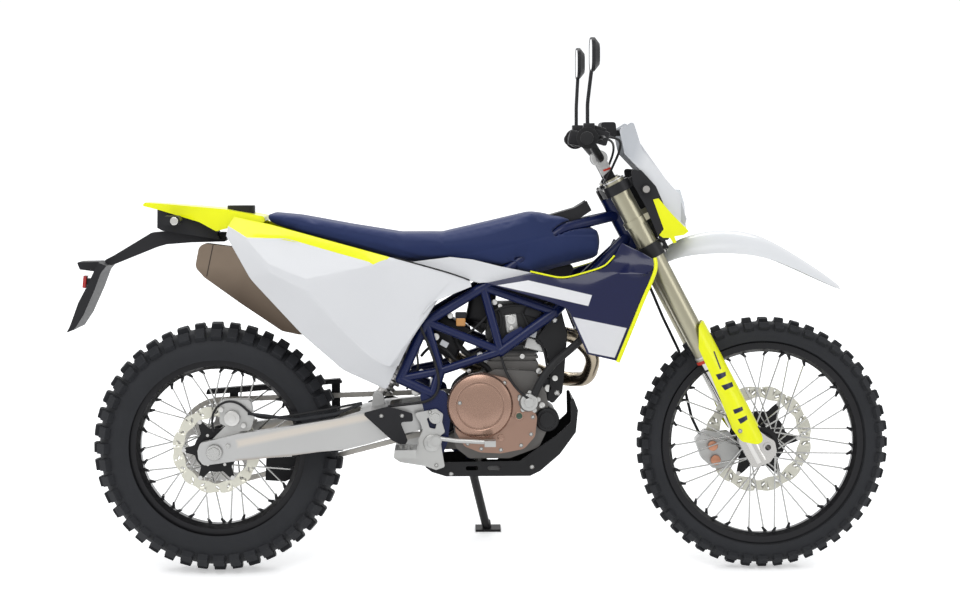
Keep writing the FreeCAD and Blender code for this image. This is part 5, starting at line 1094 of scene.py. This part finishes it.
cheek = -outside(["mask_panels"], 1.212, 0.968) + 0.0004
plate("mask_cheeks", "steering", [(1.188, 1.026), (1.203, 1.029), (1.238, 0.988), (1.285, 0.940),
    (1.272, 0.930), (1.246, 0.926), (1.252, 0.910), (1.243, 0.907), (1.234, 0.922), (1.216, 0.922),
    (1.205, 0.930), (1.217, 0.946)], cheek, 0.0022, yellow_plastic)
lens_grey = Finish("lens_grey", (0.50, 0.51, 0.53), 0.10, coat=1.0, drift=0.03, wear=0.02)
plate("mask_lens_sides", "steering", [(1.238, 1.058), (1.262, 1.040), (1.284, 0.972), (1.279, 0.953),
    (1.256, 0.985)], 0.079, 0.003, lens_grey)
mask_white = Finish("mask_white", WHITE, 0.30, **GLOSSY)
mask_white.lay(mask_white.inside([(1.170, 0.960), (1.204, 0.972), (1.300, 0.946), (1.290, 0.900),
    (1.196, 0.900)]), YELLOW)
mask_white.lay(mask_white.inside([(1.095, 1.100), (1.150, 1.128), (1.190, 1.260), (1.090, 1.260)], 0.02),
    (0.55, 0.57, 0.60))
wear(mask_white, "headlamp_mask")


# Grips, throttle housing and switches: black rubber grips with fine ribs and an end flange, and moulded
# housings clamped beside them.
clamp_point = steering_foot + 0.020 * fork_forward + 0.907 * fork_up
grip_rubber = Finish("grip_rubber", (0.016, 0.016, 0.017), 0.68, drift=0.15, grain=1600, depth=0.0001)
for side, word in ((-1, "right"), (1, "left")):
    end = clamp_point + Vector((-0.057, side * 0.400, 0.053))
    inner = clamp_point + Vector((-0.041, side * 0.185, 0.055))
    along = (inner - end).normalized()
    turn = along.to_track_quat("Z", "Y").to_matrix().to_4x4()
    turn.translation = end
    bm = bmesh.new()
    line = [(0.0, -0.003), (0.010, -0.003), (0.0160, -0.001), (0.0172, 0.001), (0.0172, 0.006),
        (0.0158, 0.0075)]
    for k in range(25):
        s = 0.0085 + k * 0.0042
        line += [(0.0156, s), (0.0170, s + 0.0008), (0.0170, s + 0.0026), (0.0156, s + 0.0034)]
    line += [(0.0165, 0.1150), (0.0280, 0.1165), (0.0290, 0.1185), (0.0280, 0.1205), (0.0160, 0.1220),
        (0.0118, 0.1225)]
    lathe(bm, [(r, 0, s) for r, s in line], UP, 36)
    bmesh.ops.remove_doubles(bm, verts=bm.verts, dist=0.00001)
    bm.transform(turn)
    grip = settle(bm, "grip_" + word, "steering", grip_rubber, 35)
    if side < 0:
        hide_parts("grips")
    bm = bmesh.new()
    for depth, radius, s in ((0.030, 0.0235, 0.141), (0.018, 0.0205, 0.168)):
        made = drum(bm, 32, radius, depth)
        move(bm, made, (0, 0, s))
    made = bmesh.ops.create_cube(bm, size=1.0)["verts"]
    bmesh.ops.scale(bm, vec=(0.030, 0.026, 0.026), verts=made)
    move(bm, made, (0.004 * side, 0.026, 0.142))
    break_edges(bm, bm.edges[:], 0.002, 2)
    bm.transform(turn)
    piece = settle(bm, "switch_housing_" + word, "steering", black_plastic, 40)


# Radiator cores: close rows of thin bright fins on the front faces, leaning as the radiators do.
fins = bmesh.new()
core = nodes["radiators"]
for side in (-1, 1):
    for row in range(30):
        z = 0.640 + row * 0.0052
        start = leaned @ Vector((1.30, side * 0.114, z))
        hit, place, _, _ = core.ray_cast(start, leaned.to_3x3() @ Vector((-1, 0, 0)))
        if not hit:
            continue
        front = (upright @ place).x
        made = bmesh.ops.create_cube(fins, size=1.0)["verts"]
        bmesh.ops.scale(fins, vec=(0.0016, 0.054, 0.0014), verts=made)
        move(fins, made, (front + 0.0006, side * 0.114, z))
core_fins = settle(fins, "radiator_fins", "chassis", bright, 30)


# Rear dress: a red reflector under the lamp's black hood, clear bulbs on the indicator stubs, the caliper's
# silver piston cap and the black hose that arches over it, bronze caps on the front caliper.
wear(black_plastic, "tail_lamp")
reflector_red = Finish("reflector_red", (0.55, 0.012, 0.010), 0.12, coat=1.0, drift=0.05)
soft_box("rear_reflector", "chassis", (-0.366, -0.024, 0.788), (-0.356, 0.024, 0.822), 0.002, reflector_red,
    0.1)
soft_box("reflector_arm", "chassis", (-0.357, -0.020, 0.796), (-0.326, 0.020, 0.812), 0.002, black_plastic,
    0.1)
turned_parts("indicator_bulbs", "chassis", [((-0.100, side * 0.149, 0.974), 0.011, 0.012,
    side) for side in (-1, 1)], chrome)
turned_parts("rear_caliper_cap", "chassis", [((0.047, -0.128, 0.438), 0.021, 0.010, -1),
    ((0.047, -0.131, 0.438), 0.011, 0.007, -1), ((0.018, -0.125, 0.462), 0.007, 0.008, -1),
    ((0.078, -0.125, 0.418), 0.007, 0.008, -1)], bright)
tube("rear_hose_arch", "chassis", [(-0.004, -0.105, 0.400), (-0.012, -0.108, 0.434), (0.004, -0.110, 0.470),
    (0.036, -0.112, 0.486), (0.069, -0.115, 0.478), (0.095, -0.118, 0.452), (0.125, -0.116, 0.437),
    (0.176, -0.112, 0.439), (0.285, -0.112, 0.456), (0.399, -0.112, 0.478)], 0.0032, hose_rubber)
cap_bronze = Finish("cap_bronze", (0.50, 0.24, 0.15), 0.30, metal=0.8, drift=0.06)
turned_parts("front_caliper_caps", "steering", [((1.370, 0.0258, 0.336), 0.014, 0.008, -1),
    ((1.378, 0.0258, 0.296), 0.014, 0.008, -1)], cap_bronze)


# Bar dress: the front brake's master cylinder and its lever perch, a dark strip along the top of each side
# panel that stands in for the shade of the gap below the seat (painted shade), and the hoses and cable that
# hang in an arc ahead of the clamps.
# Painted shade: a dark rubber strip where the gap between the side panel and the seat filler falls dark.
strip("panel_gap_shade", "chassis", [(0.490, -0.1285, 0.8725), (0.560, -0.132, 0.853), (0.656, -0.137, 0.826),
    (0.692, -0.1385, 0.811)], 0.004, hose_rubber)
bar_middle = clamp_point + Vector((-0.041, 0, 0.055))
soft_box("master_cylinder", "steering", bar_middle + Vector((0.000, -0.245, -0.016)),
    bar_middle + Vector((0.052, -0.195, 0.022)), 0.005, black_plastic, 0.3)
soft_box("master_cap", "steering", bar_middle + Vector((0.004, -0.243, 0.020)),
    bar_middle + Vector((0.046, -0.197, 0.030)), 0.003, engine_black, 0.3)
soft_box("clutch_perch", "steering", bar_middle + Vector((0.002, 0.195, -0.014)),
    bar_middle + Vector((0.044, 0.240, 0.018)), 0.005, black_plastic, 0.3)
soft_box("switch_block", "steering", bar_middle + Vector((-0.030, 0.178, -0.020)),
    bar_middle + Vector((0.012, 0.214, 0.022)), 0.006, black_plastic, 0.2)
turned_parts("start_button", "steering", [((bar_middle.x - 0.020, -0.180, bar_middle.z + 0.006), 0.006, 0.010,
    -1)], seal_red)
for side, word in ((-1, "right"), (1, "left")):
    start = bar_middle + Vector((0.040, side * 0.200, 0.002))
    tube("bar_line_" + word, "steering", [start, start + Vector((0.045, -side * 0.030, 0.000)),
        start + Vector((0.055, -side * 0.090, -0.030)), start + Vector((0.030, -side * 0.130, -0.090)),
        start + Vector((0.014, -side * 0.135, -0.125))], 0.0034, hose_rubber)


# Inside the trellis: wiring loops, connectors, a coil, bright unions and small brackets on the engine,
# then the footrest boss, the chain adjusters and the skid plate's screws.
hoses("chassis", [("loom_a", 0.004, [(0.560, -0.060, 0.600), (0.590, -0.085, 0.640), (0.630, -0.092, 0.620),
    (0.660, -0.090, 0.580), (0.700, -0.088, 0.600), (0.740, -0.088, 0.640)]),
    ("loom_b", 0.0035, [(0.610, -0.070, 0.700), (0.640, -0.090, 0.660), (0.680, -0.094, 0.655),
    (0.720, -0.092, 0.690), (0.760, -0.094, 0.730), (0.830, -0.090, 0.745), (0.890, -0.088, 0.730)]),
    ("loom_c", 0.003, [(0.520, -0.060, 0.510), (0.545, -0.090, 0.545), (0.555, -0.095, 0.590),
    (0.540, -0.080, 0.640)]), ("loom_d", 0.0035, [(0.835, -0.088, 0.720), (0.850, -0.094, 0.690),
    (0.862, -0.094, 0.655), (0.885, -0.092, 0.640), (0.900, -0.090, 0.600), (0.905, -0.090, 0.550)]),
    ("drain_hose", 0.0055, [(0.700, -0.070, 0.560), (0.655, -0.085, 0.540), (0.640, -0.085, 0.500),
    (0.648, -0.080, 0.450), (0.640, -0.075, 0.400)]), ("fuel_line", 0.004,
    [(0.740, -0.050, 0.760), (0.765, -0.085, 0.735), (0.780, -0.092, 0.700), (0.770, -0.092, 0.660),
    (0.745, -0.085, 0.640)])])
for name, low, high, round_edge, finish, slot, turn in (("spark_coil", (0.842, -0.094, 0.706),
        (0.886, -0.066, 0.732), 0.004, black_plastic, "black_plastic", 0.3),
        ("loom_plug_a", (0.612, -0.100, 0.628), (0.634, -0.084, 0.644), 0.002, lens_grey, "cast_aluminium",
        0.5), ("loom_plug_b", (0.700, -0.098, 0.596), (0.722, -0.084, 0.610), 0.002, black_plastic,
        "black_plastic", -0.4), ("loom_plug_c", (0.856, -0.100, 0.652), (0.874, -0.086, 0.672), 0.002,
        lens_grey, "cast_aluminium", 0.2), ("cam_side_cover", (0.842, -0.086, 0.615), (0.898, -0.066, 0.648),
        0.005, cast, "cast_aluminium", 0.25), ("cylinder_boss", (0.792, -0.086, 0.536),
        (0.868, -0.062, 0.562), 0.005, cast, "cast_aluminium", 0.1),
        ("starter_body", (0.878, -0.085, 0.480), (0.916, -0.030, 0.540), 0.008, black_plastic,
        "black_plastic", 0.0)):
    soft_box(name, "chassis", low, high, round_edge, finish, turn)
UNION_TALL = 0.008
unions = [(0.640, -0.094, 0.712, 0.008), (0.690, -0.088, 0.560, 0.006), (0.775, -0.094, 0.738, 0.006),
    (0.760, -0.092, 0.748, 0.008), (0.840, -0.094, 0.752, 0.006), (0.905, -0.092, 0.512, 0.010),
    (0.888, -0.100, 0.466, 0.009), (0.924, -0.096, 0.540, 0.008), (0.560, -0.100, 0.560, 0.007),
    (0.545, -0.090, 0.505, 0.012), (0.528, -0.086, 0.545, 0.008), (0.835, -0.094, 0.600, 0.007),
    (0.880, -0.096, 0.560, 0.008), (0.680, -0.096, 0.655, 0.006), (0.600, -0.096, 0.655, 0.010)]
turned_parts("engine_unions", "chassis", [((x, y, z), radius, UNION_TALL, -1) for x, y, z, radius in unions],
    bright)
turned_parts("footrest_boss", "chassis", [((0.588, -0.150, 0.371), 0.023, 0.014, -1),
    ((0.588, -0.153, 0.371), 0.013, 0.010, -1)], cast)
hex_nut("chain_adjusters", "chassis", [((0.037, side * 0.143, 0.366), 0.006, 0.006,
    side) for side in (-1, 1)], zinc)
screws("skid_screws", "chassis", ["skid_plate"], [(0.640, 0.282), (0.860, 0.300)], 0.006, zinc)
